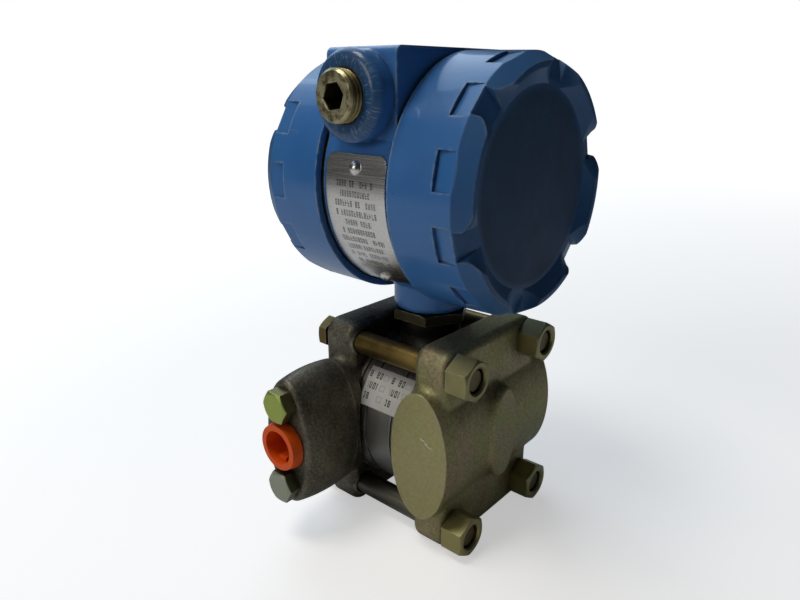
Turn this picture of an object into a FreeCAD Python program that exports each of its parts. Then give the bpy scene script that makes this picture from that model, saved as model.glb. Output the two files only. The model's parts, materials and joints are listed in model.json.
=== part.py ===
import FreeCAD, Part
import math
import os

# Two-compartment pressure transmitter: a sensing cell clamped between a process flange and a blank flange,
# and a housing with two screw covers that turns on the cell's neck.
# Lengths are millimetres. X runs along the barrel towards the front cover, -Y faces the process connection.
# The model is laid out from the cell's centre. The origin is the centre of the four bracket holes,
# on the plane of the flanges' rear pads.

V = FreeCAD.Vector

# Sensing cell: a drum between the flanges with a threaded neck on top.
diaphragm_radius = 24.0
seal_offset = 4.5
cell_rim = 15.5
neck_radius = 13.0
collar_step = 2.0
neck_gap = 1.0
weld_groove_width = 1.6
weld_groove_depth = 0.7
weld_groove_place = 8.0
diaphragm_thickness = 0.3
diaphragm_wave = 0.45
diaphragm_waves = 4
diaphragm_edge_gap = 0.1
diaphragm_seat_depth = 0.9
process_seal_section = 2.6
seal_groove_play = 0.15
header_height = 3.0
header_margin = 3.0
header_pin_radius = 0.6
header_pin_length = 6.0
header_pins = 8
header_pin_circle = 6.0

# Flange bolts, with heads on the process flange and nuts on the blank flange.
bolt_diameter = 11.1
bolt_hole_gap = 0.45
bolt_to_cell = 3.9
bolt_spacing_y = 58.0
ear_margin_y = 8.0
ear_margin_z = 10.2
nut_width = 17.5
nut_height = 11.1
nut_bore_gap = 0.1
head_width = 14.3
head_height = 5.5
bolt_end_recess = 1.8
hex_chamfer = 0.9
bolt_angle = 17.0
nut_angle = 14.0

# Flange castings, each with an oval port body from the front pad to the rear pad.
flange_thickness = 21.5
flange_edge_round = 4.0
ear_setback = 3.0
seat_margin = 1.0
port_offset = 11.0
pad_half_width = 16.0
pad_margin = 11.0
front_pad_projection = 3.0
rear_pad_projection = 6.5
cell_lip_gap = 0.6
chamber_margin = 0.6
chamber_depth = 3.0
boss_half_width = 11.5
boss_half_height = 24.0
boss_rise = 7.0
boss_shift = 2.0
boss_round = 2.4
boss_root = 2.0
boss_blend = 3.0
port_blend = 3.4
bracket_thread_radius = 4.87
bracket_thread_depth = 16.0
port_thread_radius = 6.8
port_thread_depth = 16.0
port_channel_radius = 3.0

# Flange adapter, an oval block bolted on the process flange's front pad.
adapter_bolt_spacing = 41.3
adapter_depth = 30.0
adapter_overhang = 1.0
adapter_swell = 0.8
adapter_fullest = 0.55
adapter_taper = 1.6
adapter_drop = 0.3
adapter_edge_round = 2.6
adapter_thread_radius = 10.4
adapter_thread_depth = 21.0
adapter_seal_radius = 9.0
adapter_seal_section = 2.4
adapter_bolt_grip = 15.0
adapter_head_width = 14.3
adapter_head_height = 6.4
adapter_hole_spare = 2.0

# Shipping plug in the adapter's port.
plug_fit_gap = 0.3
plug_lip_step = 1.9
plug_lip_height = 5.2
plug_depth = 13.0
plug_wall = 1.9
plug_tab_width = 5.0
plug_tab_height = 2.6

# Vent valve on the process flange's rear pad.
valve_seat_width = 15.9
valve_seat_height = 9.0
valve_thread_length = 11.0
valve_thread_gap = 0.1
valve_stem_radius = 3.6
valve_stem_gap = 0.08
valve_stem_reach = 7.0
valve_hex_width = 9.5
valve_hex_height = 6.0
valve_tip_length = 6.0
valve_tip_radius = 2.0
valve_tip_gap = 0.5

# Lock nut and the housing's lower hub.
lock_nut_wall = 3.5
lock_nut_height = 5.0
lock_nut_lift = 0.9
lock_nut_gap = 0.08
lock_nut_seat_gap = 0.1
hub_gap = 0.4
hub_wall = 5.0
hub_height = 10.4
hub_round = 3.0
neck_fit = 0.06
neck_engagement = 14.0
neck_bore_spare = 2.0

# Housing casting: barrel, a saddle across its top with a conduit hub at each end, spigots for the covers.
barrel_radius = 51.0
barrel_margin = 0.7
spigot_step = 2.8
spigot_wall = 4.7
spigot_length = 15.8
conduit_radius = 10.5
conduit_wall = 7.3
conduit_rise = 37.0
conduit_projection = 5.2
conduit_round = 4.0
saddle_setback = 4.3
saddle_cap = 0.4
saddle_round = 3.0
conduit_thread_length = 20.0
cable_way_radius = 8.5
cable_way_end = 14.0
dividing_wall = 10.0
conduit_floor = 1.5
casting_blend = 2.5
wire_hole_radius = 6.0
wire_hole_lift = 2.0

# Conduit plug with a hex socket.
conduit_plug_gap = 0.3
conduit_plug_stand = 5.8
conduit_plug_depth = 15.0
conduit_plug_taper = 0.5
conduit_plug_chamfer = 1.0
socket_width = 9.6
socket_depth = 10.0
socket_angle = 8.0

# Covers: lobed castings with wrench recesses and edge pockets.
cover_step = 3.5
cover_draft = 0.6
cover_skirt = 30.0
seam_gap = 1.1
thread_gap = 0.4
chamfer_length = 7.6
chamfer_drop = 4.0
rim_width = 2.2
rim_depth = 4.0
rim_slope = 6.0
face_wall = 4.0
cover_end_gap = 2.0
cover_inner_step = 3.0
cover_lobes = 6
pocket_width = 15.0
pocket_length = 8.2
pocket_depth = 2.1
pocket_lip = 0.5
recess_edge_width = 12.5
recess_floor_width = 8.5
recess_crest_width = 24.0
recess_overlap = 2.0
fold_inset = 2.0
front_cover_angle = 17.0
rear_cover_angle = 29.5
cover_seal_section = 2.2
cover_seal_gap = 0.35
cover_seal_room = 0.3

# Side plate, curved to the barrel, held by two drive screws.
plate_width = 33.0
plate_thickness = 0.6
plate_gap = 0.05
plate_start_angle = 73.5
plate_end_angle = 147.0
plate_corner = 4.0
plate_screw_inset = 5.5
plate_screw_radius = 3.0
plate_screw_dome = 1.9
plate_screw_shank = 1.3
plate_screw_depth = 3.5
plate_screw_gap = 0.1

# Terminal block in the rear compartment.
block_width = 64.0
block_height = 26.0
block_depth = 14.0
block_slot_depth = 5.0
block_rib = 3.0
terminals = 4
terminal_screw_radius = 3.6
terminal_screw_head = 2.6
terminal_shank_radius = 2.0
terminal_shank_length = 6.0
terminal_slot_width = 1.0
terminal_washer_radius = 5.0
terminal_washer_height = 1.2
terminal_hole_gap = 0.15
terminal_hole_spare = 0.5
terminal_angle = 35.0

# Circuit boards in the front compartment.
board_margin = 3.5
board_thickness = 1.6
board_stack_gap = 8.0
board_posts = 3
board_post_inset = 6.0
board_post_radius = 3.0
board_screw_radius = 1.6
board_screw_head_radius = 3.0
board_screw_head = 2.0
board_screw_end_gap = 1.0
board_hole_gap = 0.2
trimmer_size = 9.5
trimmer_height = 7.0
trimmer_spread = 26.0
trimmer_screw_radius = 2.4
trimmer_screw_reach = 1.5
capacitor_radius = 5.0
capacitor_spread = 17.0
capacitor_drop = 8.5
capacitor_top_gap = 1.0
foot_sink = 0.2

# How far a cutting shape runs past the face that it opens, and the flat that is left beside a rounding.
past = 1.0
flat_left = 1.0

# Places closer than this are taken as one when edges are picked.
same = 0.01

# Places that follow from the sizes above.
cell_radius = diaphragm_radius + cell_rim
collar_radius = neck_radius + collar_step
face_x = collar_radius + neck_gap
seal_radius = diaphragm_radius + seal_offset
bolt_radius = bolt_diameter / 2
bolt_hole_radius = bolt_radius + bolt_hole_gap
bolt_y = bolt_spacing_y / 2
bolt_circle = cell_radius + bolt_to_cell + bolt_radius
bolt_z = math.sqrt(bolt_circle ** 2 - bolt_y ** 2)
flange_half_y = bolt_y + ear_margin_y
flange_half_z = bolt_z + ear_margin_z
ear_x = face_x + flange_thickness
port_x = face_x + port_offset
front_pad_y = -cell_radius - front_pad_projection
rear_pad_y = cell_radius + rear_pad_projection
adapter_bolt_z = adapter_bolt_spacing / 2
pad_half_height = adapter_bolt_z + pad_margin
adapter_face_y = front_pad_y - adapter_depth
lock_nut_low = flange_half_z + lock_nut_lift
lock_nut_top = lock_nut_low + lock_nut_height
collar_top = lock_nut_low - lock_nut_seat_gap
hub_low = lock_nut_top + hub_gap
neck_top = hub_low + neck_engagement
hub_radius = neck_radius + hub_wall
conduit_hub_radius = conduit_radius + conduit_wall
barrel_half = max(hub_radius, conduit_hub_radius) + barrel_margin
barrel_z = hub_low + hub_height + barrel_radius
spigot_radius = barrel_radius - spigot_step
bay_radius = spigot_radius - spigot_wall
spigot_end = barrel_half + spigot_length
cover_radius = barrel_radius + cover_step
conduit_face_y = barrel_radius + conduit_projection
saddle_y = barrel_radius - saddle_setback
saddle_top = conduit_rise + conduit_hub_radius + saddle_cap
front_wall_x = conduit_radius + conduit_floor
rear_floor_x = front_wall_x - dividing_wall
seam_x = barrel_half + seam_gap


def solid_of(points, axis, turn=360.0):
    """A profile of (along, out) points turned about the X, Y or Z axis."""
    if axis == "x":
        corners = [V(a, 0, r) for a, r in points]
        direction = V(1, 0, 0)
    elif axis == "y":
        corners = [V(r, a, 0) for a, r in points]
        direction = V(0, 1, 0)
    else:
        corners = [V(r, 0, a) for a, r in points]
        direction = V(0, 0, 1)
    wire = Part.makePolygon(corners + corners[:1])
    return Part.Face(wire).revolve(V(0, 0, 0), direction, turn)


def rod(axis, radius, start, end, centre=V(0, 0, 0)):
    """A cylinder along X, Y or Z from start to end, with its axis through centre."""
    direction = {"x": V(1, 0, 0), "y": V(0, 1, 0), "z": V(0, 0, 1)}[axis]
    return Part.makeCylinder(radius, end - start, centre + direction * start, direction)


def block(x0, x1, y0, y1, z0, z1):
    """A box between two corners."""
    return Part.makeBox(x1 - x0, y1 - y0, z1 - z0, V(x0, y0, z0))


def moved(shape, x=0.0, y=0.0, z=0.0):
    """A copy of the shape, shifted."""
    copy = shape.copy()
    copy.translate(V(x, y, z))
    return copy


def turned(shape, axis, angle, centre=V(0, 0, 0)):
    """A copy of the shape, turned about an axis through centre."""
    copy = shape.copy()
    copy.rotate(centre, axis, angle)
    return copy


def ring(axis, radius, section, place, centre=V(0, 0, 0)):
    """A ring of round section, such as a seal."""
    direction = {"x": V(1, 0, 0), "y": V(0, 1, 0), "z": V(0, 0, 1)}[axis]
    return Part.makeTorus(radius, section / 2, centre + direction * place, direction)


def hex_head(width, height, chamfer):
    """A hex prism along +Z with its outer corners turned off."""
    corner = width / math.sqrt(3)
    points = []
    for k in range(7):
        angle = math.radians(60 * k)
        points.append(V(corner * math.cos(angle), corner * math.sin(angle), 0))
    prism = Part.Face(Part.makePolygon(points)).extrude(V(0, 0, height))
    inside = corner - 2 * chamfer
    outline = [(0, 0), (0, corner), (height - chamfer, corner), (height, inside), (height, 0)]
    return prism.common(solid_of(outline, "z"))


def lay(shape, direction, place):
    """A piece made along +Z, laid along another direction at a place."""
    copy = shape.copy()
    copy.Placement = FreeCAD.Placement(place, FreeCAD.Rotation(V(0, 0, 1), direction))
    return copy


def oval_wire(half_x, half_z, y, x):
    """An upright oval in a plane facing along Y."""
    frame = Part.Ellipse(V(0, 0, 0), half_z, half_x)
    edge = frame.toShape()
    edge.Placement = FreeCAD.Placement(V(x, y, 0), FreeCAD.Rotation(V(0, 0, 1), V(1, 0, 0), V(0, -1, 0), "ZXY"))
    return Part.Wire(edge)


def spots(edge, count=5):
    """Places spread evenly along an edge."""
    span = edge.LastParameter - edge.FirstParameter
    return [edge.valueAt(edge.FirstParameter + span * k / (count - 1)) for k in range(count)]


def rounded_plate(half_y, half_z, corner, x0, x1):
    """A plate across X with rounded corners."""
    plate = block(x0, x1, -half_y, half_y, -half_z, half_z)
    upright = [e for e in plate.Edges if abs(e.tangentAt(e.FirstParameter).x) > 0.99]
    return plate.makeFillet(corner, upright)


def bolt_places():
    """The four flange bolt axes."""
    return [(sy * bolt_y, sz * bolt_z) for sy in (-1, 1) for sz in (-1, 1)]


def sensor_module():
    """The cell drum with its neck, diaphragm seats, seal grooves and weld grooves."""
    groove = weld_groove_width / 2
    low = cell_radius - weld_groove_depth
    half = [(0, cell_radius), (weld_groove_place - groove, cell_radius), (weld_groove_place - groove, low),
            (weld_groove_place + groove, low), (weld_groove_place + groove, cell_radius), (face_x, cell_radius)]
    profile = [(-face_x, 0)] + [(-a, r) for a, r in reversed(half[1:])] + half + [(face_x, 0)]
    drum = solid_of(profile, "x")
    collar = rod("z", collar_radius, 0, collar_top)
    neck = rod("z", neck_radius, 0, neck_top)
    body = drum.fuse([collar, neck]).removeSplitter()
    seal_half = process_seal_section / 2 + seal_groove_play
    for side in (-1, 1):
        floor = side * (face_x - process_seal_section)
        edge = side * (face_x + past)
        low_x = min(floor, edge)
        high_x = max(floor, edge)
        outer = rod("x", seal_radius + seal_half, low_x, high_x)
        inner = rod("x", seal_radius - seal_half, low_x, high_x)
        body = body.cut(outer.cut(inner))
        seat = side * (face_x - diaphragm_seat_depth - diaphragm_thickness - diaphragm_wave)
        body = body.cut(rod("x", diaphragm_radius, min(seat, edge), max(seat, edge)))
    pocket = rod("z", neck_radius - header_margin, neck_top - header_height, neck_top + past)
    return body.cut(pocket)


def diaphragm(side):
    """A thin corrugated disc in its seat: waves run round the centre."""
    back = face_x - diaphragm_seat_depth - diaphragm_thickness - diaphragm_wave
    steps = diaphragm_waves * 2
    outside = []
    inside = []
    for k in range(steps + 1):
        radius = (diaphragm_radius - diaphragm_edge_gap) * k / steps
        wave = diaphragm_wave * (k % 2)
        inside.append((side * (back + wave), radius))
        outside.append((side * (back + wave + diaphragm_thickness), radius))
    return solid_of(inside + list(reversed(outside)), "x")


def process_seal(side):
    """A flat-topped gasket in the cell's seal groove."""
    half = process_seal_section / 2
    floor = face_x - process_seal_section
    points = [(side * floor, seal_radius - half), (side * face_x, seal_radius - half),
              (side * face_x, seal_radius + half), (side * floor, seal_radius + half)]
    return solid_of(points, "x")


def sensor_header():
    """The feedthrough disc in the neck's top, with its ring of pins."""
    radius = neck_radius - header_margin
    disc = rod("z", radius, neck_top - header_height, neck_top)
    pins = []
    for k in range(header_pins):
        angle = math.radians(360.0 / header_pins * k)
        centre = V(header_pin_circle * math.cos(angle), header_pin_circle * math.sin(angle), 0)
        root = neck_top - header_height / 2
        pins.append(rod("z", header_pin_radius, root, neck_top + header_pin_length, centre))
    return disc.fuse(pins).removeSplitter()


def flange_casting(boss):
    """A flange at +X: ears set back from a round seat, an oval port body blended into them, an outer boss."""
    ear_in = face_x + ear_setback
    plate = rounded_plate(flange_half_y, flange_half_z, ear_margin_y, ear_in, ear_x)
    rims = [e for e in plate.Edges if abs(e.tangentAt(e.FirstParameter).x) < 0.01]
    plate = plate.makeFillet(min(flange_edge_round, ear_margin_y - flat_left), rims)
    seat = rod("x", cell_radius + seat_margin, face_x, ear_x - flange_edge_round)
    length = rear_pad_y - front_pad_y
    port = Part.Face(oval_wire(pad_half_width, pad_half_height, front_pad_y, port_x)).extrude(V(0, length, 0))
    inner_x = port_x - pad_half_width - past
    port = port.cut(rod("x", cell_radius + cell_lip_gap, inner_x, face_x))
    reach = flange_half_y - past
    port = port.cut(block(inner_x, face_x, -reach, reach, -pad_half_height, pad_half_height))
    casting = plate.fuse([seat, port]).removeSplitter()
    seams = []
    for edge in casting.Edges:
        on_face = all(abs(p.x - ear_x) < same and abs(p.z) < pad_half_height for p in spots(edge))
        if on_face and edge.Length > flange_half_y:
            seams.append(edge)
    casting = casting.makeFillet(port_blend, seams)
    if boss:
        casting = casting.fuse(outer_boss()).removeSplitter()
        foot = [e for e in casting.Edges if e.Length > boss_round and all(on_boss_side(p) for p in spots(e))]
        casting = casting.makeFillet(boss_blend, foot)
    for y, z in bolt_places():
        casting = casting.cut(rod("x", bolt_hole_radius, face_x - past, ear_x + past, V(0, y, z)))
    casting = casting.cut(rod("x", diaphragm_radius + chamber_margin, face_x - past, face_x + chamber_depth))
    for sz in (-1, 1):
        centre = V(port_x, 0, sz * adapter_bolt_z)
        start = rear_pad_y - bracket_thread_depth
        casting = casting.cut(rod("y", bracket_thread_radius, start, rear_pad_y + past, centre))
    return casting


def on_boss_side(place):
    """Whether a place lies on the boss's oval side, below its rounded top."""
    oval = math.hypot((place.y - boss_shift) / boss_half_width, place.z / boss_half_height)
    return abs(oval - 1) < same / 4 and place.x < ear_x + boss_rise - boss_round - same


def outer_boss():
    """The oval swelling on a flange's outer face, rounded at its top."""
    root = face_x + chamber_depth + boss_root
    top_x = ear_x + boss_rise
    edge = Part.Ellipse(V(0, 0, 0), boss_half_height, boss_half_width).toShape()
    upright = FreeCAD.Rotation(V(0, 0, 1), V(0, 1, 0), V(1, 0, 0), "ZXY")
    edge.Placement = FreeCAD.Placement(V(root, boss_shift, 0), upright)
    raised = Part.Face(Part.Wire(edge)).extrude(V(top_x - root, 0, 0))
    top = [e for e in raised.Edges if all(abs(v.X - top_x) < 1e-6 for v in e.Vertexes)]
    return raised.makeFillet(boss_round, [e for e in top if e.Length > boss_half_height])


def blank_flange():
    """The flange on the closed side."""
    return flange_casting(True)


def process_flange():
    """The flange on the process side, with its port, adapter bolt holes and vent hole."""
    casting = flange_casting(False)
    middle = V(port_x, 0, 0)
    port_end = front_pad_y + port_thread_depth
    vent_end = rear_pad_y - port_thread_depth
    channel_end = diaphragm_radius / 2
    casting = casting.cut(rod("y", port_thread_radius, front_pad_y - past, port_end, middle))
    casting = casting.cut(rod("y", port_thread_radius, vent_end, rear_pad_y + past, middle))
    casting = casting.cut(rod("y", port_channel_radius, port_end - past, -channel_end, middle))
    casting = casting.cut(rod("y", port_channel_radius, channel_end, vent_end + past, middle))
    for sy in (-1, 1):
        centre = V(0, sy * (channel_end + port_channel_radius), 0)
        casting = casting.cut(rod("x", port_channel_radius, face_x, port_x + port_channel_radius, centre))
    for sz in (-1, 1):
        centre = V(port_x, 0, sz * adapter_bolt_z)
        end = front_pad_y + adapter_bolt_grip + adapter_hole_spare
        casting = casting.cut(rod("y", bolt_radius + nut_bore_gap, front_pad_y - past, end, centre))
    return casting.mirror(V(0, 0, 0), V(1, 0, 0))


def hex_bolt(length, width, height):
    """A hex bolt along +Z: the head from 0 down, the shank from 0 up."""
    head = turned(hex_head(width, height, hex_chamfer), V(1, 0, 0), 180)
    shank = rod("z", bolt_radius, 0, length - hex_chamfer)
    end = solid_of([(length - hex_chamfer, 0), (length - hex_chamfer, bolt_radius),
                    (length, bolt_radius - hex_chamfer), (length, 0)], "z")
    return head.fuse([shank, end]).removeSplitter()


def flange_bolts():
    """Four bolts through both flanges."""
    length = 2 * ear_x + nut_height - bolt_end_recess
    bolts = []
    for k, (y, z) in enumerate(bolt_places()):
        bolt = turned(hex_bolt(length, head_width, head_height), V(0, 0, 1), bolt_angle * k)
        bolts.append(lay(bolt, V(1, 0, 0), V(-ear_x, y, z)))
    return Part.makeCompound(bolts)


def flange_nuts():
    """Four nuts on the blank flange, with a countersunk thread mouth."""
    bore = bolt_radius + nut_bore_gap
    mouth = solid_of([(-past, 0), (-past, bore), (nut_height - hex_chamfer, bore),
                      (nut_height + hex_chamfer, bore + 2 * hex_chamfer), (nut_height + hex_chamfer, 0)], "z")
    nut = hex_head(nut_width, nut_height, hex_chamfer).cut(mouth)
    nuts = []
    for k, (y, z) in enumerate(bolt_places()):
        nuts.append(lay(turned(nut, V(0, 0, 1), nut_angle * k), V(1, 0, 0), V(ear_x, y, z)))
    return Part.makeCompound(nuts)


def flange_adapter():
    """The adapter block: lofted through three ovals, with a pipe port and two bolt holes."""
    back_x = pad_half_width + adapter_overhang
    back_z = pad_half_height + adapter_overhang
    full_y = front_pad_y - adapter_depth * adapter_fullest
    back = oval_wire(back_x, back_z, front_pad_y, -port_x)
    full = oval_wire(back_x, back_z + adapter_swell, full_y, -port_x)
    front_x = pad_half_width - adapter_taper
    front_z = pad_half_height - adapter_drop
    front = oval_wire(front_x, front_z, adapter_face_y, -port_x)
    body = Part.makeLoft([back, full, front], True, False)
    rim = [e for e in body.Edges if all(abs(v.Y - adapter_face_y) < 1e-6 for v in e.Vertexes)]
    body = body.makeFillet(adapter_edge_round, [e for e in rim if e.Length > pad_half_height])
    middle = V(-port_x, 0, 0)
    thread_end = adapter_face_y + adapter_thread_depth
    body = body.cut(rod("y", adapter_thread_radius, adapter_face_y - past, thread_end, middle))
    body = body.cut(rod("y", port_channel_radius, adapter_face_y, front_pad_y + past, middle))
    groove_radius = adapter_seal_radius + adapter_seal_section / 2 + seal_groove_play
    island_radius = adapter_seal_radius - adapter_seal_section / 2 - seal_groove_play
    floor = front_pad_y - adapter_seal_section
    outer = rod("y", groove_radius, floor, front_pad_y + past, middle)
    inner = rod("y", island_radius, floor, front_pad_y + past, middle)
    body = body.cut(outer.cut(inner))
    for sz in (-1, 1):
        centre = V(-port_x, 0, sz * adapter_bolt_z)
        body = body.cut(rod("y", bolt_hole_radius, adapter_face_y - past, front_pad_y + past, centre))
    return body


def adapter_seal():
    """The ring between the adapter and the pad."""
    half = adapter_seal_section / 2
    low = adapter_seal_radius - half
    high = adapter_seal_radius + half
    floor = front_pad_y - adapter_seal_section
    points = [(floor, low), (front_pad_y, low), (front_pad_y, high), (floor, high)]
    return moved(solid_of(points, "y"), x=-port_x)


def adapter_bolts():
    """Two bolts through the adapter into the process flange."""
    length = adapter_depth + adapter_bolt_grip
    bolt = turned(hex_bolt(length, adapter_head_width, adapter_head_height), V(0, 0, 1), 90)
    places = [V(-port_x, adapter_face_y, sz * adapter_bolt_z) for sz in (-1, 1)]
    return Part.makeCompound([lay(bolt, V(0, 1, 0), place) for place in places])


def port_plug():
    """A moulded cup with a lip, and a grip tab on the inside of its wall."""
    body_radius = adapter_thread_radius - plug_fit_gap
    lip_radius = body_radius + plug_lip_step
    floor = adapter_face_y + plug_depth
    lip_y = adapter_face_y - plug_fit_gap
    mouth = lip_y - plug_lip_height
    hollow = body_radius - plug_wall
    points = [(mouth, hollow), (mouth, lip_radius - plug_wall / 2), (lip_y, lip_radius), (lip_y, body_radius),
              (floor, body_radius - plug_wall / 2), (floor, 0), (floor - plug_wall, 0),
              (floor - plug_wall, hollow - plug_wall / 2)]
    cup = solid_of(points, "y")
    half = plug_tab_width / 2
    tab_start = mouth + plug_lip_height / 2
    tab_end = floor - plug_wall / 2
    tab = block(-half, half, tab_start, tab_end, -hollow - plug_wall, plug_tab_height - hollow)
    tab = tab.common(rod("y", hollow + plug_wall / 4, mouth, floor))
    return moved(cup.fuse(tab).removeSplitter(), x=-port_x)


def vent_seat():
    """The vent valve's hex seat, screwed into the process flange's rear pad."""
    hexagon = hex_head(valve_seat_width, valve_seat_height, hex_chamfer)
    thread = rod("z", port_thread_radius - valve_thread_gap, -valve_thread_length, 0)
    seat = hexagon.fuse(thread).removeSplitter()
    bore = valve_stem_radius + valve_stem_gap
    seat = seat.cut(rod("z", bore, -valve_thread_length + valve_tip_length - past, valve_seat_height + past))
    seat = seat.cut(rod("z", valve_tip_radius + valve_tip_gap, -valve_thread_length - past, 0))
    return lay(seat, V(0, 1, 0), V(-port_x, rear_pad_y, 0))


def vent_stem():
    """The vent valve's screw, with a pointed tip and a hex head."""
    low = -valve_thread_length + valve_tip_length
    top = valve_seat_height + valve_stem_reach
    points = [(low - valve_tip_length / 2, 0), (low, valve_tip_radius), (low, valve_stem_radius),
              (top, valve_stem_radius), (top, 0)]
    stem = solid_of(points, "z")
    head = moved(hex_head(valve_hex_width, valve_hex_height, hex_chamfer / 2), z=top - foot_sink)
    return lay(stem.fuse(head).removeSplitter(), V(0, 1, 0), V(-port_x, rear_pad_y, 0))


def lock_nut():
    """The thin hex nut under the housing."""
    width = 2 * (neck_radius + lock_nut_wall)
    nut = hex_head(width, lock_nut_height, hex_chamfer)
    nut = nut.cut(rod("z", neck_radius + lock_nut_gap, -past, lock_nut_height + past))
    return moved(nut, z=lock_nut_low)


def housing():
    """The housing casting: barrel with spigots, saddle with conduit hubs, lower hub, two bays, their bores."""
    barrel = solid_of([(-spigot_end, 0), (-spigot_end, spigot_radius), (-barrel_half, spigot_radius),
                       (-barrel_half, barrel_radius), (barrel_half, barrel_radius), (barrel_half, spigot_radius),
                       (spigot_end, spigot_radius), (spigot_end, 0)], "x")
    conduit = rod("y", conduit_hub_radius, -conduit_face_y, conduit_face_y, V(0, 0, conduit_rise))
    ends = [e for e in conduit.Edges if e.Length > conduit_hub_radius and abs(e.CenterOfMass.y) > barrel_radius]
    conduit = conduit.makeFillet(conduit_round, ends)
    saddle = block(-barrel_half, barrel_half, -saddle_y, saddle_y, 0, saddle_top)
    tops = [e for e in saddle.Edges if e.CenterOfMass.z > saddle_top - same]
    saddle = saddle.makeFillet(saddle_round, [e for e in tops if abs(e.CenterOfMass.y) > saddle_y - same])
    hub_end = hub_low - barrel_z
    hub = rod("z", hub_radius, hub_end, 0)
    foot = [e for e in hub.Edges if e.Length > hub_radius and abs(e.CenterOfMass.z - hub_end) < same]
    hub = hub.makeFillet(min(hub_round, hub_wall - flat_left), foot)
    casting = barrel.fuse([saddle, conduit, hub]).removeSplitter()
    seams = []
    for edge in casting.Edges:
        middle = edge.valueAt((edge.FirstParameter + edge.LastParameter) / 2)
        on_barrel = abs(math.hypot(middle.y, middle.z) - barrel_radius) < same
        if on_barrel and middle.z < 0 and abs(middle.x) < barrel_half - same and edge.Length > hub_radius:
            seams.append(edge)
    casting = casting.makeFillet(min(casting_blend, hub_height / 2), seams)
    casting = casting.cut(rod("x", bay_radius, front_wall_x, spigot_end + past))
    casting = casting.cut(rod("x", bay_radius, -spigot_end - past, rear_floor_x))
    for sy in (-1, 1):
        mouth = sy * (conduit_face_y + past)
        thread_end = sy * (conduit_face_y - conduit_thread_length)
        centre = V(0, 0, conduit_rise)
        casting = casting.cut(rod("y", conduit_radius, min(mouth, thread_end), max(mouth, thread_end), centre))
        way_end = sy * cable_way_end
        casting = casting.cut(rod("y", cable_way_radius, min(mouth, way_end), max(mouth, way_end), centre))
    neck_bore_top = neck_top + header_pin_length + neck_bore_spare - barrel_z
    casting = casting.cut(rod("z", neck_radius + neck_fit, hub_end - past, neck_bore_top))
    wire_z = -bay_radius + wire_hole_radius + wire_hole_lift
    wire_hole = rod("x", wire_hole_radius, rear_floor_x - past, front_wall_x + past, V(0, 0, wire_z))
    casting = casting.cut(wire_hole)
    for angle in plate_screw_angles():
        hole_radius = plate_screw_shank + plate_screw_gap
        hole = rod("z", hole_radius, barrel_radius - plate_screw_depth - past, barrel_radius + past)
        casting = casting.cut(turned(hole, V(1, 0, 0), angle))
    return moved(casting, z=barrel_z)


def cover():
    """A cover along +X: turned profile, six wrench recesses cut through the rim, pockets round the edge."""
    chamfer_x = seam_x + cover_skirt
    rim_x = chamfer_x + chamfer_length
    rim_radius = cover_radius - cover_draft - chamfer_drop
    rim_inner = rim_radius - rim_width
    face = rim_x - rim_depth
    face_edge = rim_inner - rim_slope
    inner_face = face - face_wall
    bore = spigot_radius + thread_gap
    seal_bore = spigot_radius + cover_seal_gap * 2 + cover_seal_section + cover_seal_room
    seal_end = seam_x + cover_seal_section
    shoulder = spigot_end + cover_end_gap
    hollow = bore - cover_inner_step
    profile = [(seam_x, seal_bore), (seam_x, cover_radius), (chamfer_x, cover_radius - cover_draft),
               (rim_x, rim_radius), (rim_x, rim_inner), (face, face_edge), (face, 0), (inner_face, 0),
               (inner_face, hollow), (shoulder, hollow), (shoulder, bore), (seal_end, bore),
               (seal_end, seal_bore)]
    body = solid_of(profile, "x")
    step = 360.0 / cover_lobes
    cuts = []
    for k in range(2 * cover_lobes):
        cuts.append(turned(edge_pocket(chamfer_x), V(1, 0, 0), step / 2 * k))
    for k in range(cover_lobes):
        cuts.append(turned(wrench_recess(chamfer_x, face, rim_inner), V(1, 0, 0), step * (k + 0.5)))
    return body.cut(cuts).removeSplitter()


def edge_pocket(chamfer_x):
    """The space of one edge pocket: deepest at its back, shallow at the chamfer."""
    out = cover_radius + past
    back = chamfer_x - pocket_length
    lip = cover_radius - cover_draft - pocket_lip
    front = chamfer_x + past
    corners = [V(back, 0, cover_radius - pocket_depth), V(front, 0, lip), V(front, 0, out), V(back, 0, out)]
    side = Part.Face(Part.makePolygon(corners + corners[:1]))
    return moved(side.extrude(V(0, pocket_width, 0)), y=-pocket_width / 2)


def wrench_recess(chamfer_x, face, crest):
    """The space of one wrench recess: a floor that slants from the face to the edge, between flanks that stand
    upright at the edge and lean out more and more towards the rim's crest."""
    out = cover_radius + past
    edge = cover_radius - cover_draft - pocket_lip
    foot = crest - rim_slope
    inner = foot - recess_overlap
    top = face + rim_depth + past
    corners = [V(face, 0, inner), V(face, 0, foot + fold_inset), V(chamfer_x, 0, edge), V(chamfer_x, 0, out),
               V(top, 0, out), V(top, 0, inner)]
    section = Part.Face(Part.makePolygon(corners + corners[:1]))
    span = math.pi * out / cover_lobes
    slab = moved(section.extrude(V(0, 2 * span, 0)), y=-span)
    floor_lean = (recess_edge_width - recess_floor_width) / (edge - foot)
    crest_lean = (recess_crest_width - recess_edge_width) / (edge - crest)
    floor_inner = recess_edge_width - floor_lean * (edge - inner)
    crest_inner = recess_edge_width + crest_lean * (edge - inner)
    top_inner = floor_inner + (crest_inner - floor_inner) * (top - face) / rim_depth
    low = recess_outline(face, inner, edge, out, floor_inner)
    high = recess_outline(top, inner, edge, out, top_inner)
    flanks = Part.makeLoft([low, high], True, True)
    below = Part.Face(low).extrude(V(chamfer_x - past - face, 0, 0))
    return slab.common(flanks.fuse(below))


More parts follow.
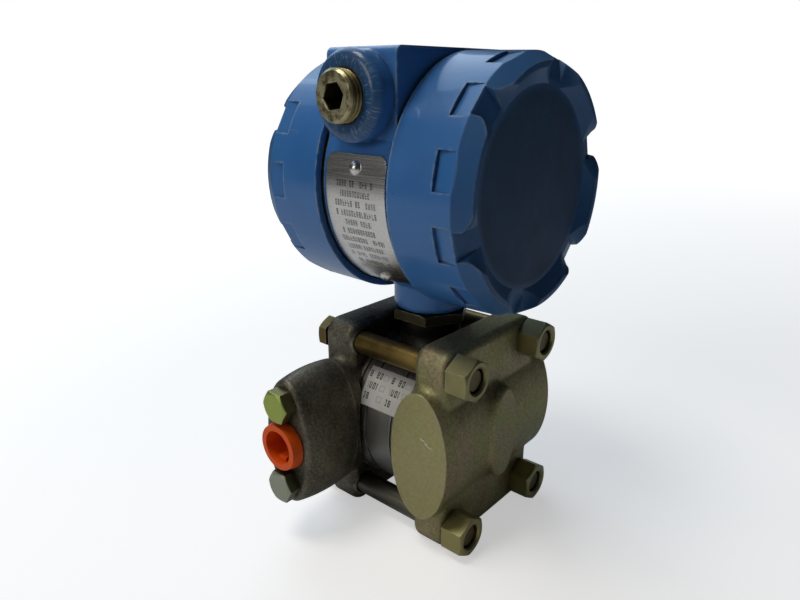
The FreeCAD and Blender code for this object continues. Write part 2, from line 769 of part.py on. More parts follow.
def recess_outline(x, inner, edge, out, inner_width):
    """A recess's outline across X: one width at its inner end, and another from the cover's edge outwards."""
    wide = inner_width / 2
    narrow = recess_edge_width / 2
    points = [V(x, -wide, inner), V(x, wide, inner), V(x, narrow, edge), V(x, narrow, out), V(x, -narrow, out),
              V(x, -narrow, edge)]
    return Part.makePolygon(points + points[:1])


def front_cover():
    """The cover on the circuit side."""
    return moved(turned(cover(), V(1, 0, 0), front_cover_angle), z=barrel_z)


def rear_cover():
    """The cover on the terminal side."""
    back = turned(cover(), V(0, 0, 1), 180)
    return moved(turned(back, V(1, 0, 0), rear_cover_angle), z=barrel_z)


def cover_seal(side):
    """The ring at the spigot's root that the cover closes on."""
    radius = spigot_radius + cover_seal_gap + cover_seal_section / 2
    place = barrel_half + cover_seal_gap + cover_seal_section / 2
    return moved(ring("x", radius, cover_seal_section, side * place), z=barrel_z)


def conduit_plug():
    """The plug in the near conduit entry, slightly tapered, with a hex socket."""
    radius = conduit_radius - conduit_plug_gap
    small = radius - conduit_plug_taper
    stand = conduit_plug_stand
    points = [(-conduit_plug_depth, 0), (-conduit_plug_depth, small), (0, radius),
              (stand - conduit_plug_chamfer, radius), (stand, radius - conduit_plug_chamfer), (stand, 0)]
    plug = solid_of(points, "z")
    socket = moved(hex_head(socket_width, socket_depth + past, 0.0), z=stand - socket_depth)
    plug = plug.cut(turned(socket, V(0, 0, 1), socket_angle))
    return lay(plug, V(0, -1, 0), V(0, -conduit_face_y, barrel_z + conduit_rise))


def plate_screw_angles():
    """Where the two drive screws stand, in degrees about the barrel from the top towards -Y."""
    inset = math.degrees(plate_screw_inset / barrel_radius)
    return (plate_start_angle + inset, plate_end_angle - inset)


def side_plate():
    """A curved sheet on the barrel with rounded corners and two screw holes."""
    low = barrel_radius + plate_gap
    high = low + plate_thickness
    half = plate_width / 2
    corners = [V(-half, 0, low), V(half, 0, low), V(half, 0, high), V(-half, 0, high)]
    section = Part.Face(Part.makePolygon(corners + corners[:1]))
    sheet = section.revolve(V(0, 0, 0), V(1, 0, 0), plate_end_angle - plate_start_angle)
    short = [e for e in sheet.Edges if e.Length < plate_thickness * 1.5]
    sheet = sheet.makeFillet(plate_corner, short)
    sheet = turned(sheet, V(1, 0, 0), plate_start_angle)
    for angle in plate_screw_angles():
        hole = rod("z", plate_screw_shank + plate_screw_gap, low - past, high + past)
        sheet = sheet.cut(turned(hole, V(1, 0, 0), angle))
    return moved(sheet, z=barrel_z)


def side_plate_screws():
    """Two dome-headed drive screws."""
    seat = barrel_radius + plate_gap + plate_thickness + plate_gap
    sphere_radius = (plate_screw_radius ** 2 + plate_screw_dome ** 2) / (2 * plate_screw_dome)
    ball = Part.makeSphere(sphere_radius, V(0, 0, seat + plate_screw_dome - sphere_radius))
    dome = ball.common(rod("z", 2 * plate_screw_radius, seat, seat + 2 * plate_screw_dome))
    shank = rod("z", plate_screw_shank, barrel_radius - plate_screw_depth, seat + plate_screw_dome / 2)
    screw = dome.fuse(shank).removeSplitter()
    return moved(Part.makeCompound([turned(screw, V(1, 0, 0), a) for a in plate_screw_angles()]), z=barrel_z)


def terminal_spots():
    """Centres of the terminal slots along Y."""
    pitch = block_width / terminals
    return [pitch * (k + 0.5) - block_width / 2 for k in range(terminals)]


def terminal_block():
    """A barrier strip on the dividing wall, with a slot for each terminal."""
    back = rear_floor_x
    front = back - block_depth
    body = block(front, back, -block_width / 2, block_width / 2, -block_height / 2, block_height / 2)
    slot_half = (block_width / terminals - block_rib) / 2
    hole = terminal_shank_radius + terminal_hole_gap
    floor = front + block_slot_depth
    for y in terminal_spots():
        body = body.cut(block(front - past, floor, y - slot_half, y + slot_half, -block_height, block_height))
        hole_end = floor + terminal_shank_length + terminal_hole_spare
        body = body.cut(rod("x", hole, floor - past, hole_end, V(0, y, 0)))
    return moved(body, z=barrel_z)


def terminal_washers():
    """A square-shouldered clamp washer under each terminal screw."""
    floor = rear_floor_x - block_depth + block_slot_depth
    pieces = []
    for y in terminal_spots():
        washer = rod("x", terminal_washer_radius, floor - terminal_washer_height, floor, V(0, y, 0))
        hole_radius = terminal_shank_radius + terminal_hole_gap
        hole = rod("x", hole_radius, floor - terminal_washer_height - past, floor + past, V(0, y, 0))
        pieces.append(washer.cut(hole))
    return moved(Part.makeCompound(pieces), z=barrel_z)


def terminal_screws():
    """Slotted pan-head screws, one per terminal."""
    floor = rear_floor_x - block_depth + block_slot_depth - terminal_washer_height
    pieces = []
    for k, y in enumerate(terminal_spots()):
        head = rod("x", terminal_screw_radius, floor - terminal_screw_head, floor, V(0, y, 0))
        reach = terminal_shank_length + terminal_washer_height
        shank = rod("x", terminal_shank_radius, floor - foot_sink, floor + reach, V(0, y, 0))
        half = terminal_slot_width / 2
        across = terminal_screw_radius + past
        top = floor - terminal_screw_head
        slot = block(top - past, top + terminal_screw_head / 2, y - across, y + across, -half, half)
        slot = turned(slot, V(1, 0, 0), terminal_angle * k, V(0, y, 0))
        pieces.append(head.fuse(shank).removeSplitter().cut(slot))
    return moved(Part.makeCompound(pieces), z=barrel_z)


def board_radius():
    """Outer radius of both boards."""
    return bay_radius - board_margin


def post_places():
    """The posts' axes round the boards."""
    radius = board_radius() - board_post_inset
    angles = [math.radians(90 + 360.0 / board_posts * k) for k in range(board_posts)]
    return [V(0, radius * math.cos(a), radius * math.sin(a)) for a in angles]


def board_places():
    """Where the amplifier and calibration boards start along X."""
    first = front_wall_x + board_stack_gap
    return (first, first + board_thickness + board_stack_gap)


def circuit_board(start):
    """A round board with holes for its screws."""
    board = rod("x", board_radius(), start, start + board_thickness)
    hole = board_screw_radius + board_hole_gap
    for place in post_places():
        board = board.cut(rod("x", hole, start - past, start + board_thickness + past, place))
    return board


def amplifier_board():
    """The inner board, with two round capacitors between the boards' posts."""
    start = board_places()[0]
    board = circuit_board(start)
    for sy in (-1, 1):
        centre = V(0, sy * capacitor_spread, -capacitor_drop)
        top = start + board_thickness + board_stack_gap - capacitor_top_gap
        can = rod("x", capacitor_radius, start + board_thickness - foot_sink, top, centre)
        board = board.fuse(can)
    return moved(board.removeSplitter(), z=barrel_z)


def calibration_board():
    """The outer board, with its two trimmers."""
    start = board_places()[1]
    board = circuit_board(start)
    front = start + board_thickness
    half = trimmer_size / 2
    for sy in (-1, 1):
        y = sy * trimmer_spread / 2
        trimmer = block(front - foot_sink, front + trimmer_height, y - half, y + half, -half, half)
        top = front + trimmer_height + trimmer_screw_reach
        adjuster = rod("x", trimmer_screw_radius, front, top, V(0, y, 0))
        board = board.fuse([trimmer, adjuster])
    return moved(board.removeSplitter(), z=barrel_z)


def board_standoffs():
    """Posts from the wall to the first board and from the first to the second."""
    pieces = []
    first, second = board_places()
    for place in post_places():
        bore = rod("x", board_screw_radius + board_hole_gap, front_wall_x - past, second + past, place)
        low = rod("x", board_post_radius, front_wall_x, first, place).cut(bore)
        high = rod("x", board_post_radius, first + board_thickness, second, place).cut(bore)
        pieces += [low, high]
    return moved(Part.makeCompound(pieces), z=barrel_z)


def board_screws():
    """Screws through both boards and their posts."""
    pieces = []
    front = board_places()[1] + board_thickness
    for place in post_places():
        head = rod("x", board_screw_head_radius, front, front + board_screw_head, place)
        shank = rod("x", board_screw_radius, front_wall_x + board_screw_end_gap, front + foot_sink, place)
        pieces.append(head.fuse(shank).removeSplitter())
    return moved(Part.makeCompound(pieces), z=barrel_z)


pieces = {
    "sensor_module": sensor_module(),
    "sensor_header": sensor_header(),
    "isolating_diaphragm_high": diaphragm(-1),
    "isolating_diaphragm_low": diaphragm(1),
    "process_seal_high": process_seal(-1),
    "process_seal_low": process_seal(1),
    "process_flange": process_flange(),
    "blank_flange": blank_flange(),
    "flange_bolts": flange_bolts(),
    "flange_nuts": flange_nuts(),
    "flange_adapter": flange_adapter(),
    "adapter_seal": adapter_seal(),
    "adapter_bolts": adapter_bolts(),
    "port_plug": port_plug(),
    "vent_valve_seat": vent_seat(),
    "vent_valve_stem": vent_stem(),
    "lock_nut": lock_nut(),
    "housing": housing(),
    "front_cover": front_cover(),
    "rear_cover": rear_cover(),
    "front_cover_seal": cover_seal(1),
    "rear_cover_seal": cover_seal(-1),
    "conduit_plug": conduit_plug(),
    "side_plate": side_plate(),
    "side_plate_screws": side_plate_screws(),
    "terminal_block": terminal_block(),
    "terminal_washers": terminal_washers(),
    "terminal_screws": terminal_screws(),
    "amplifier_board": amplifier_board(),
    "calibration_board": calibration_board(),
    "board_standoffs": board_standoffs(),
    "board_screws": board_screws(),
}

os.makedirs("parts", exist_ok=True)
for name, shape in pieces.items():
    moved(shape, y=-rear_pad_y).exportStep("parts/" + name + ".step")
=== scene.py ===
import json
import bmesh
import bpy
import numpy as np
from mathutils import Matrix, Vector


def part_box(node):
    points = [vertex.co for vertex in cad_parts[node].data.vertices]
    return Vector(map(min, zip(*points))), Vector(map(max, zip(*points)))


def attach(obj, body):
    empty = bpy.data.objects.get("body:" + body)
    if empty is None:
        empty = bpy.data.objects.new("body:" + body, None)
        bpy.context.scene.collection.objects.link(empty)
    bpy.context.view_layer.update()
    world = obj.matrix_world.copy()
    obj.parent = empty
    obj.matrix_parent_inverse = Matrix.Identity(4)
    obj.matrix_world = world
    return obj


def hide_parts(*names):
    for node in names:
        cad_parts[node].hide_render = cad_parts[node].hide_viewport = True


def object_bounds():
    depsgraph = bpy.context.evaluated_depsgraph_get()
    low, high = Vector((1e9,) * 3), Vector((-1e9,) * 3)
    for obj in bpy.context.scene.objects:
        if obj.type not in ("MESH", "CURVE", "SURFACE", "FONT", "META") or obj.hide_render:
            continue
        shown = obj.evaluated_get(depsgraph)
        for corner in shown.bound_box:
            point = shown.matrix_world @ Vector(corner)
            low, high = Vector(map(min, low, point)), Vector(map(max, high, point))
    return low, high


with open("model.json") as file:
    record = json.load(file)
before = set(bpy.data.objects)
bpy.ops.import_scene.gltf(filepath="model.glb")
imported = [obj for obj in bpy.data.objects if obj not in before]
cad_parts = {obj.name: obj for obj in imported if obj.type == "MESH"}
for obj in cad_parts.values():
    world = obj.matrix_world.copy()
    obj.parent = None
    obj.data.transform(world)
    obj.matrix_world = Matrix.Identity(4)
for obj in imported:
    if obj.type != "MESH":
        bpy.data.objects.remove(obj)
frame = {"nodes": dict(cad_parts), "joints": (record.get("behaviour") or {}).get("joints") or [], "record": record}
nodes = frame["nodes"]
cad_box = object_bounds()

# The sensing cell is a short turned steel drum with a round neck, dulled by handling.
# Dirt and painted shade darken its two weld grooves and the places under the flanges, and the neck is painted
# dark towards its top as shade under the housing.
turned_dark, turned_pale = (0.20, 0.195, 0.175), (0.34, 0.33, 0.30)
rubbed_steel = (0.55, 0.53, 0.48)
groove_dirt_and_shade = (0.035, 0.032, 0.027)
neck_painted_shade = (0.018, 0.016, 0.013)
neck_shade_start, neck_shade_full = 0.040, 0.044


def add(tree, kind, wires=None, **settings):
    """One shader node. Wires gives its inputs by name or number: numbers, colours or sockets to link."""
    made = tree.nodes.new("ShaderNode" + kind)
    for label, value in settings.items():
        setattr(made, label, value)
    for place, value in (wires or {}).items():
        if isinstance(value, bpy.types.NodeSocket):
            tree.links.new(value, made.inputs[place])
        else:
            made.inputs[place].default_value = value
    return made


def calc(tree, operation, a, b=0.0, c=0.0):
    """Two or three values put together by one of the Math node's operations."""
    return add(tree, "Math", {0: a, 1: b, 2: c}, operation=operation).outputs[0]


def times(tree, first, *others):
    """The product of two or more values."""
    for other in others:
        first = calc(tree, "MULTIPLY", first, other)
    return first


def spread(tree, value, low, high, start=0.0, end=1.0):
    """The stretch of a value from low to high, taken to start and end and held there."""
    return add(tree, "MapRange", {0: value, 1: low, 2: high, 3: start, 4: end}).outputs[0]


def varied(tree, pattern, start=0.0, end=1.0):
    """A noise's usual reach, from 0.3 to 0.7, taken to start and end."""
    return spread(tree, pattern, 0.3, 0.7, start, end)


def mixed(tree, share, first, second):
    """The colour at a share of the way from the first to the second, each three numbers or a socket."""
    first, second = (c if isinstance(c, bpy.types.NodeSocket) else (*c, 1.0) for c in (first, second))
    return add(tree, "Mix", {0: share, 6: first, 7: second}, data_type="RGBA").outputs[2]


def coated(tree, base, mask, tone, amount=1.0):
    """A colour with a tone laid over it where a mask is, by an amount at most."""
    return mixed(tree, mask if amount == 1.0 else times(tree, mask, amount), base, tone)


def own_coords(tree):
    """The piece's own coordinates, in metres."""
    return add(tree, "TexCoord").outputs["Object"]


def xyz(tree, vector=None):
    """X, Y and Z of a vector, or of the piece's own coordinates."""
    return add(tree, "SeparateXYZ", {0: own_coords(tree) if vector is None else vector}).outputs


def noise(tree, vector, scale, detail=3.0, roughness=0.55):
    """Smooth noise of so many waves a metre, from 0 to 1 about a half."""
    wires = {"Vector": vector, "Scale": scale, "Detail": detail, "Roughness": roughness}
    return add(tree, "TexNoise", wires).outputs[0]


def grain(tree, waves, detail=3.0, roughness=0.55, turn=(0.0, 0.0, 0.0)):
    """Noise on the piece's own coordinates, turned and then stretched: so many waves a metre, as one number
    for all ways or one each for X, Y and Z."""
    waves = (waves, waves, waves) if isinstance(waves, float) else waves
    wires = {"Vector": own_coords(tree), "Rotation": turn, "Scale": waves}
    return noise(tree, add(tree, "Mapping", wires).outputs[0], 1.0, detail, roughness)


def bumped(tree, height, distance, normal=None):
    """A normal raised by a height of so many metres."""
    wires = {"Distance": distance, "Height": height}
    if normal is not None:
        wires["Normal"] = normal
    return add(tree, "Bump", wires).outputs[0]


def join(tree, inputs, **sockets):
    """Links colours, values and normals to the inputs of those names, on a shader or a group's output."""
    for name, socket in sockets.items():
        tree.links.new(socket, inputs[name.replace("_", " ")])


def effect(label, inputs, outputs):
    """An empty shader node group: its tree, its named inputs with their usual values, and its outputs."""
    tree = bpy.data.node_groups.new(label, "ShaderNodeTree")
    for name, value in inputs.items():
        socket = tree.interface.new_socket(name, in_out="INPUT", socket_type="NodeSocketFloat")
        socket.default_value = value
    for name, kind in outputs.items():
        tree.interface.new_socket(name, in_out="OUTPUT", socket_type="NodeSocket" + kind)
    return tree, tree.nodes.new("NodeGroupInput").outputs, tree.nodes.new("NodeGroupOutput").inputs


def use(tree, group, **values):
    """A node group placed in a material with its own values. The outputs come back."""
    placed = tree.nodes.new("ShaderNodeGroup")
    placed.node_tree = group
    for name, value in values.items():
        if isinstance(value, bpy.types.NodeSocket):
            tree.links.new(value, placed.inputs[name])
        else:
            placed.inputs[name].default_value = value
    return placed.outputs


def finish(label, **values):
    """A material with its shader's plain values set, its node tree and the shader's sockets."""
    material = bpy.data.materials.new(label)
    material.use_nodes = True
    shader = material.node_tree.nodes["Principled BSDF"]
    for name, value in values.items():
        shader.inputs[name.replace("_", " ")].default_value = value
    return material, material.node_tree, shader.inputs


def dress(material, *names):
    """Gives a material to the pieces that carry these names in the frame."""
    for name in names:
        nodes[name].material_slots[0].material = material


def edge_wear_group():
    """Outer edges within Reach are found by looking into the piece, and broken up by noise. The normal is
    rounded there by a radius of Round."""
    inputs = {"Reach": 0.0012, "Patches": 160.0, "Amount": 1.0, "Round": 0.0004}
    tree, given, result = effect("edge_wear", inputs, {"Wear": "Float", "Normal": "Vector"})
    inside = add(tree, "AmbientOcclusion", {"Distance": given["Reach"]}, samples=6, inside=True,
                 only_local=True)
    edge = spread(tree, inside.outputs["AO"], 0.97, 0.45)
    patches = spread(tree, noise(tree, own_coords(tree), given["Patches"], 5.0, 0.65), 0.36, 0.62)
    worn = times(tree, edge, patches, given["Amount"])
    rounded = add(tree, "Bevel", {"Radius": given["Round"]}, samples=4).outputs[0]
    join(tree, result, Wear=calc(tree, "MINIMUM", worn, 1.0), Normal=rounded)
    return tree


def dirt_and_corner_shade_group():
    """Corners and gaps within Reach, found by looking out from the surface, are darkened unevenly: dirt and
    painted shade.
    """
    inputs = {"Reach": 0.006, "Patches": 90.0, "Amount": 1.0}
    tree, given, result = effect("dirt_and_corner_shade", inputs, {"Dirt": "Float"})
    outside = add(tree, "AmbientOcclusion", {"Distance": given["Reach"]}, samples=6)
    corner = spread(tree, outside.outputs["AO"], 0.86, 0.3)
    patches = noise(tree, own_coords(tree), given["Patches"], 5.0, 0.7)
    dirt_and_shade = times(tree, corner, spread(tree, patches, 0.3, 0.65, 0.35, 1.0), given["Amount"])
    join(tree, result, Dirt=calc(tree, "MINIMUM", dirt_and_shade, 1.0))
    return tree


edge_wear = edge_wear_group()
dirt_and_corner_shade = dirt_and_corner_shade_group()
cell_material, tree, shader = finish("turned_cell_steel", Metallic=1.0)
turning = grain(tree, (5200.0, 40.0, 40.0), 2.0)
wear = use(tree, edge_wear, Reach=0.0009)
dirt_and_shade = use(tree, dirt_and_corner_shade, Reach=0.016)["Dirt"]
shaded_neck = spread(tree, xyz(tree)[2], neck_shade_start, neck_shade_full)
steel = mixed(tree, grain(tree, 60.0, 4.0), turned_dark, turned_pale)
steel = coated(tree, steel, wear["Wear"], rubbed_steel, 0.6)
steel = coated(tree, steel, dirt_and_shade, groove_dirt_and_shade)
# Painted shade: the neck goes dark towards the housing above it.
steel = coated(tree, steel, shaded_neck, neck_painted_shade, 0.88)
join(tree, shader, Base_Color=steel, Roughness=varied(tree, turning, 0.34, 0.52),
     Normal=bumped(tree, turning, 0.00004, wear["Normal"]))
dress(cell_material, "sensor_module")

# The paper label is stuck on the drum, part of it under the blank flange's lip, with one corner lifting.
# It is printed with made-up strokes and tick boxes in two columns, and is greyed by stains, and by dirt and
# painted shade in its corners and under the lip.
cell_low, cell_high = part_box("sensor_module")
cell_axis = (cell_low + cell_high) / 2
cell_axis.z = 0.0
cell_radius = -cell_low.z
label_start, label_end = np.radians(44.0), np.radians(72.5)
label_low_x, label_high_x = -0.0135, 0.0140
label_lift = 0.00006
label_curl = 0.00035
label_thickness = 0.00012
label_pitch = 0.0054
label_blank = 0.0022
label_columns = 2
letters_middle = 0.36
box_middle = 0.80
box_outer, box_inner = (0.11, 0.27), (0.085, 0.21)
box_ink = 0.45
paper_white, paper_stain = (0.60, 0.59, 0.56), (0.47, 0.45, 0.41)
print_black = (0.012, 0.016, 0.018)
paper_dirt_and_shade = (0.08, 0.075, 0.065)


def sheet_mesh(label, points, shares):
    """An open sheet through a grid of points, rows by columns. Two arrays of shares make its UV map."""
    rows, columns, _ = points.shape
    index = np.arange(rows * columns).reshape(rows, columns)
    corners = [index[:-1, :-1], index[:-1, 1:], index[1:, 1:], index[1:, :-1]]
    faces = np.stack(corners, -1).reshape(-1, 4)
    mesh = bpy.data.meshes.new(label)
    mesh.from_pydata(points.reshape(-1, 3).tolist(), [], faces.tolist())
    flat = np.stack([shares[0].ravel(), shares[1].ravel()], -1)[faces.ravel()]
    mesh.uv_layers.new(name="UVMap").data.foreach_set("uv", flat.ravel())
    mesh.shade_smooth()
    piece = bpy.data.objects.new(label, mesh)
    bpy.context.scene.collection.objects.link(piece)
    return piece


def label_grid(rows=40, columns=48):
    """Points on the drum: the angle from the top runs down the rows and X along the columns.
    The radius grows with the cube of the nearness to the free lower corner."""
    down, along = np.meshgrid(np.linspace(0, 1, rows), np.linspace(0, 1, columns), indexing="ij")
    angle = label_start + (label_end - label_start) * down
    corner = np.clip(down + (1 - along) - 1.0, 0, 1) ** 3
    radius = cell_radius + label_lift + label_curl * corner
    x = cell_axis.x + label_low_x + (label_high_x - label_low_x) * along
    points = np.stack([x, cell_axis.y - radius * np.sin(angle), radius * np.cos(angle)], -1)
    return points, (along, 1 - down)


def printed_rows_group():
    """Rows of made-up lettering. Down counts the rows, and Across is the distance from a row's middle in
    metres. Each row has its own length. A letter is a left stroke, with a right stroke and three bars by
    chance, in shares of the letter's width and of half its height."""
    left_stroke, right_stroke, stroke_half = 0.20, 0.64, 0.11
    bar_middle, bar_reach, bar_half = 0.42, 0.33, 0.20
    inputs = {"Across": 0.0, "Down": 0.0, "Letter": 0.0014, "Reach": 0.011, "Height": 0.32}
    tree, given, result = effect("printed_rows", inputs, {"Ink": "Float"})
    row = calc(tree, "FLOOR", given["Down"])
    level = calc(tree, "SUBTRACT", calc(tree, "FRACT", given["Down"]), 0.5)
    level = calc(tree, "DIVIDE", level, given["Height"])
    chance = add(tree, "TexWhiteNoise", {"W": row}, noise_dimensions="1D").outputs["Value"]
    reach = times(tree, given["Reach"], spread(tree, chance, 0.0, 1.0, 0.6, 1.0))
    inside = calc(tree, "LESS_THAN", calc(tree, "ABSOLUTE", given["Across"]), reach)
    count = calc(tree, "DIVIDE", given["Across"], given["Letter"])
    spot = add(tree, "CombineXYZ", {0: calc(tree, "FLOOR", count), 1: row}).outputs[0]
    pick = add(tree, "TexWhiteNoise", {"Vector": spot}, noise_dimensions="2D")
    picks = add(tree, "SeparateColor", {0: pick.outputs["Color"]}).outputs
    turn = calc(tree, "FRACT", count)
    right = calc(tree, "COMPARE", turn, right_stroke, stroke_half)
    right = times(tree, right, calc(tree, "LESS_THAN", picks[0], 0.65))
    letter = calc(tree, "MAXIMUM", calc(tree, "COMPARE", turn, left_stroke, stroke_half), right)
    for height, picked, limit in ((0.80, picks[1], 0.65), (0.0, picks[2], 0.70), (-0.80, picks[0], 0.55)):
        bar = calc(tree, "COMPARE", level, height, bar_half)
        bar = times(tree, bar, calc(tree, "LESS_THAN", picked, limit),
                    calc(tree, "COMPARE", turn, bar_middle, bar_reach))
        letter = calc(tree, "MAXIMUM", letter, bar)
    letter = times(tree, letter, calc(tree, "COMPARE", level, 0.0, 1.0))
    drawn = calc(tree, "LESS_THAN", pick.outputs["Value"], 0.86)
    join(tree, result, Ink=times(tree, letter, drawn, inside))
    return tree


printed_rows = printed_rows_group()
paper, tree, shader = finish("printed_label_paper", Roughness=0.55)
fibre = grain(tree, 900.0, 4.0)
stain = grain(tree, 70.0, 5.0, 0.7)
dirt_and_shade = use(tree, dirt_and_corner_shade, Reach=0.009, Amount=0.8)["Dirt"]
uv = xyz(tree, add(tree, "TexCoord").outputs["UV"])
column = calc(tree, "FRACT", times(tree, uv[0], float(label_columns)))
column_width = (label_high_x - label_low_x) / label_columns
rise = times(tree, uv[1], (label_end - label_start) * cell_radius)
down = calc(tree, "DIVIDE", calc(tree, "SUBTRACT", rise, label_blank), label_pitch)
level = calc(tree, "FRACT", down)
across = times(tree, calc(tree, "SUBTRACT", column, letters_middle), column_width)
ink = use(tree, printed_rows, Across=across, Down=down, Letter=0.0021, Reach=0.0043, Height=0.30)["Ink"]
outer, inner = (times(tree, calc(tree, "COMPARE", column, box_middle, half_width),
                      calc(tree, "COMPARE", level, 0.5, half_height))
                for half_width, half_height in (box_outer, box_inner))
tick_box = times(tree, calc(tree, "SUBTRACT", outer, inner), box_ink)
ink = times(tree, calc(tree, "MAXIMUM", ink, tick_box), calc(tree, "GREATER_THAN", down, 0.0))
ink = times(tree, ink, spread(tree, fibre, 0.25, 0.5, 0.75, 0.97))
white = mixed(tree, spread(tree, stain, 0.35, 0.75), paper_white, paper_stain)
white = coated(tree, coated(tree, white, ink, print_black), dirt_and_shade, paper_dirt_and_shade)
join(tree, shader, Base_Color=white, Normal=bumped(tree, fibre, 0.00003))
cell_label = sheet_mesh("cell_label", *label_grid())
cell_label.data.materials.append(paper)
thickness = cell_label.modifiers.new("paper", "SOLIDIFY")
thickness.thickness = label_thickness
thickness.offset = 1.0
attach(cell_label, "base")

# The feedthrough in the neck's top, the two corrugated foil discs and their flat seals lie inside the cell.
# The header is plated metal round glassed pins, the foils are rolled stainless, the seals black rubber.
header_dark, header_pale, header_worn = (0.42, 0.36, 0.20), (0.62, 0.54, 0.34), (0.75, 0.72, 0.62)
foil_dark, foil_pale = (0.50, 0.50, 0.48), (0.66, 0.66, 0.64)
rubber_black, rubber_bloom = (0.012, 0.012, 0.012), (0.05, 0.05, 0.048)
header_material, tree, shader = finish("plated_header", Metallic=1.0)
cloud = grain(tree, 300.0, 4.0)
wear = use(tree, edge_wear, Reach=0.0004, Round=0.0001)
plating = coated(tree, mixed(tree, cloud, header_dark, header_pale), wear["Wear"], header_worn)
join(tree, shader, Base_Color=plating, Roughness=varied(tree, cloud, 0.25, 0.42), Normal=wear["Normal"])
dress(header_material, "sensor_header")

foil_material, tree, shader = finish("rolled_foil", Metallic=1.0)
rolling = grain(tree, (400.0, 90.0, 2600.0))
join(tree, shader, Base_Color=mixed(tree, rolling, foil_dark, foil_pale),
     Roughness=varied(tree, rolling, 0.22, 0.36), Normal=bumped(tree, rolling, 0.00001))
dress(foil_material, "isolating_diaphragm_high", "isolating_diaphragm_low")

rubber, tree, shader = finish("seal_rubber", Specular_IOR_Level=0.35)
bloom = grain(tree, 420.0, 5.0)
join(tree, shader, Base_Color=mixed(tree, spread(tree, bloom, 0.4, 0.8), rubber_black, rubber_bloom),
     Roughness=varied(tree, bloom, 0.5, 0.75), Normal=bumped(tree, bloom, 0.00003))
dress(rubber, "process_seal_high", "process_seal_low", "adapter_seal", "front_cover_seal",
      "rear_cover_seal")

# The process flange and its adapter are sand-cast stainless: a grey-brown skin with pale and dark grains,
# very dark in the corners from dirt and painted shade, and rubbed bright along the edges.
cast_dark, cast_pale = (0.080, 0.071, 0.050), (0.210, 0.190, 0.141)
cast_crest, cast_hollow = (0.34, 0.31, 0.25), (0.050, 0.044, 0.032)
cast_rubbed = (0.58, 0.53, 0.45)
cast_dirt_and_shade = (0.022, 0.020, 0.016)


def casting_skin_group():
    """A cast surface: fine grain, and here and there a pit, from noise and from cells. Pale and Dark are
    the crests and hollows of one more grain, for its colour."""
    outputs = {"Height": "Float", "Mottle": "Float", "Pale": "Float", "Dark": "Float"}
    tree, given, result = effect("casting_skin", {"Grain": 900.0}, outputs)
    coords = own_coords(tree)
    fine = noise(tree, coords, given["Grain"], 4.0, 0.6)
    coarse = noise(tree, coords, times(tree, given["Grain"], 0.22), 3.0)
    cells = add(tree, "TexVoronoi", {"Vector": coords, "Scale": times(tree, given["Grain"], 0.3)})
    pits = spread(tree, cells.outputs["Distance"], 0.0, 0.22)
    lumps = calc(tree, "ADD", times(tree, fine, 0.45), times(tree, coarse, 0.8))
    fleck = noise(tree, coords, times(tree, given["Grain"], 0.9), 2.0, 0.5)
    join(tree, result, Height=calc(tree, "ADD", lumps, times(tree, pits, 0.25)),
         Mottle=noise(tree, coords, times(tree, given["Grain"], 0.05), 6.0, 0.65),
         Pale=spread(tree, fleck, 0.52, 0.72), Dark=spread(tree, fleck, 0.48, 0.28))
    return tree


casting_skin = casting_skin_group()
stainless, tree, shader = finish("cast_stainless_skin", Metallic=0.9)
skin = use(tree, casting_skin, Grain=1000.0)
wear = use(tree, edge_wear, Reach=0.0016, Patches=220.0, Round=0.0009)
dirt_and_shade = use(tree, dirt_and_corner_shade, Reach=0.010)["Dirt"]
cast = mixed(tree, spread(tree, skin["Mottle"], 0.34, 0.66), cast_dark, cast_pale)
cast = coated(tree, cast, skin["Pale"], cast_crest, 0.45)
cast = coated(tree, cast, skin["Dark"], cast_hollow, 0.55)
cast = coated(tree, cast, wear["Wear"], cast_rubbed, 0.8)
cast = coated(tree, cast, dirt_and_shade, cast_dirt_and_shade, 0.9)
join(tree, shader, Base_Color=cast, Roughness=varied(tree, skin["Mottle"], 0.46, 0.62),
     Normal=bumped(tree, skin["Height"], 0.00022, wear["Normal"]))
dress(stainless, "process_flange", "flange_adapter")

# Two hex bolts hold the adapter. Both are zinc plated, the upper one still bright yellow-green, the lower
# greyed. Their head ends are painted lighter and their flanks darker, as painted highlight and shade.
# Each plated fastener below has the same finish in its own colours.
plating_rubbed = (0.52, 0.51, 0.44)
plating_dirt_and_shade = (0.03, 0.026, 0.018)
grey_shaded_side, grey_lit_end = (0.14, 0.145, 0.08), (0.33, 0.35, 0.27)
green_shaded_side, green_lit_end = (0.20, 0.18, 0.065), (0.36, 0.44, 0.085)
head_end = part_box("adapter_bolts")[0].y
shaded_side_from, lit_end_to = 0.0011, 0.0005
bolt_tone_blend = 0.004


def toned(tree, tone):
    """A tone's colour in a tree: the tone itself, or what it mixes there if it is a function."""
    return tone(tree) if callable(tone) else tone


def plated_finish(label, fresh, aged, share, roughness=(0.30, 0.48), reach=0.004):
    """A plated fastener: two tones of plating mixed by a share and by cloudy noise, with worn edges, and
    dirt and painted shade in corners within a reach. A tone is a colour, or a function that mixes one in a tree."""
    material, tree, shader = finish(label, Metallic=0.85)
    cloud = grain(tree, 170.0, 5.0, 0.65)
    wear = use(tree, edge_wear, Reach=0.0008, Patches=300.0, Round=0.00035)
    dirt_and_shade = use(tree, dirt_and_corner_shade, Reach=reach, Patches=200.0)["Dirt"]
    clouding = times(tree, calc(tree, "SUBTRACT", cloud, 0.5), 0.9)
    tones = spread(tree, calc(tree, "ADD", share(tree), clouding), 0.0, 1.0)
    plating = mixed(tree, tones, toned(tree, fresh), toned(tree, aged))
    plating = coated(tree, plating, wear["Wear"], plating_rubbed, 0.55)
    plating = coated(tree, plating, dirt_and_shade, plating_dirt_and_shade)
    join(tree, shader, Base_Color=plating, Roughness=varied(tree, cloud, *roughness),
         Normal=bumped(tree, grain(tree, 1500.0), 0.00005, wear["Normal"]))
    return material


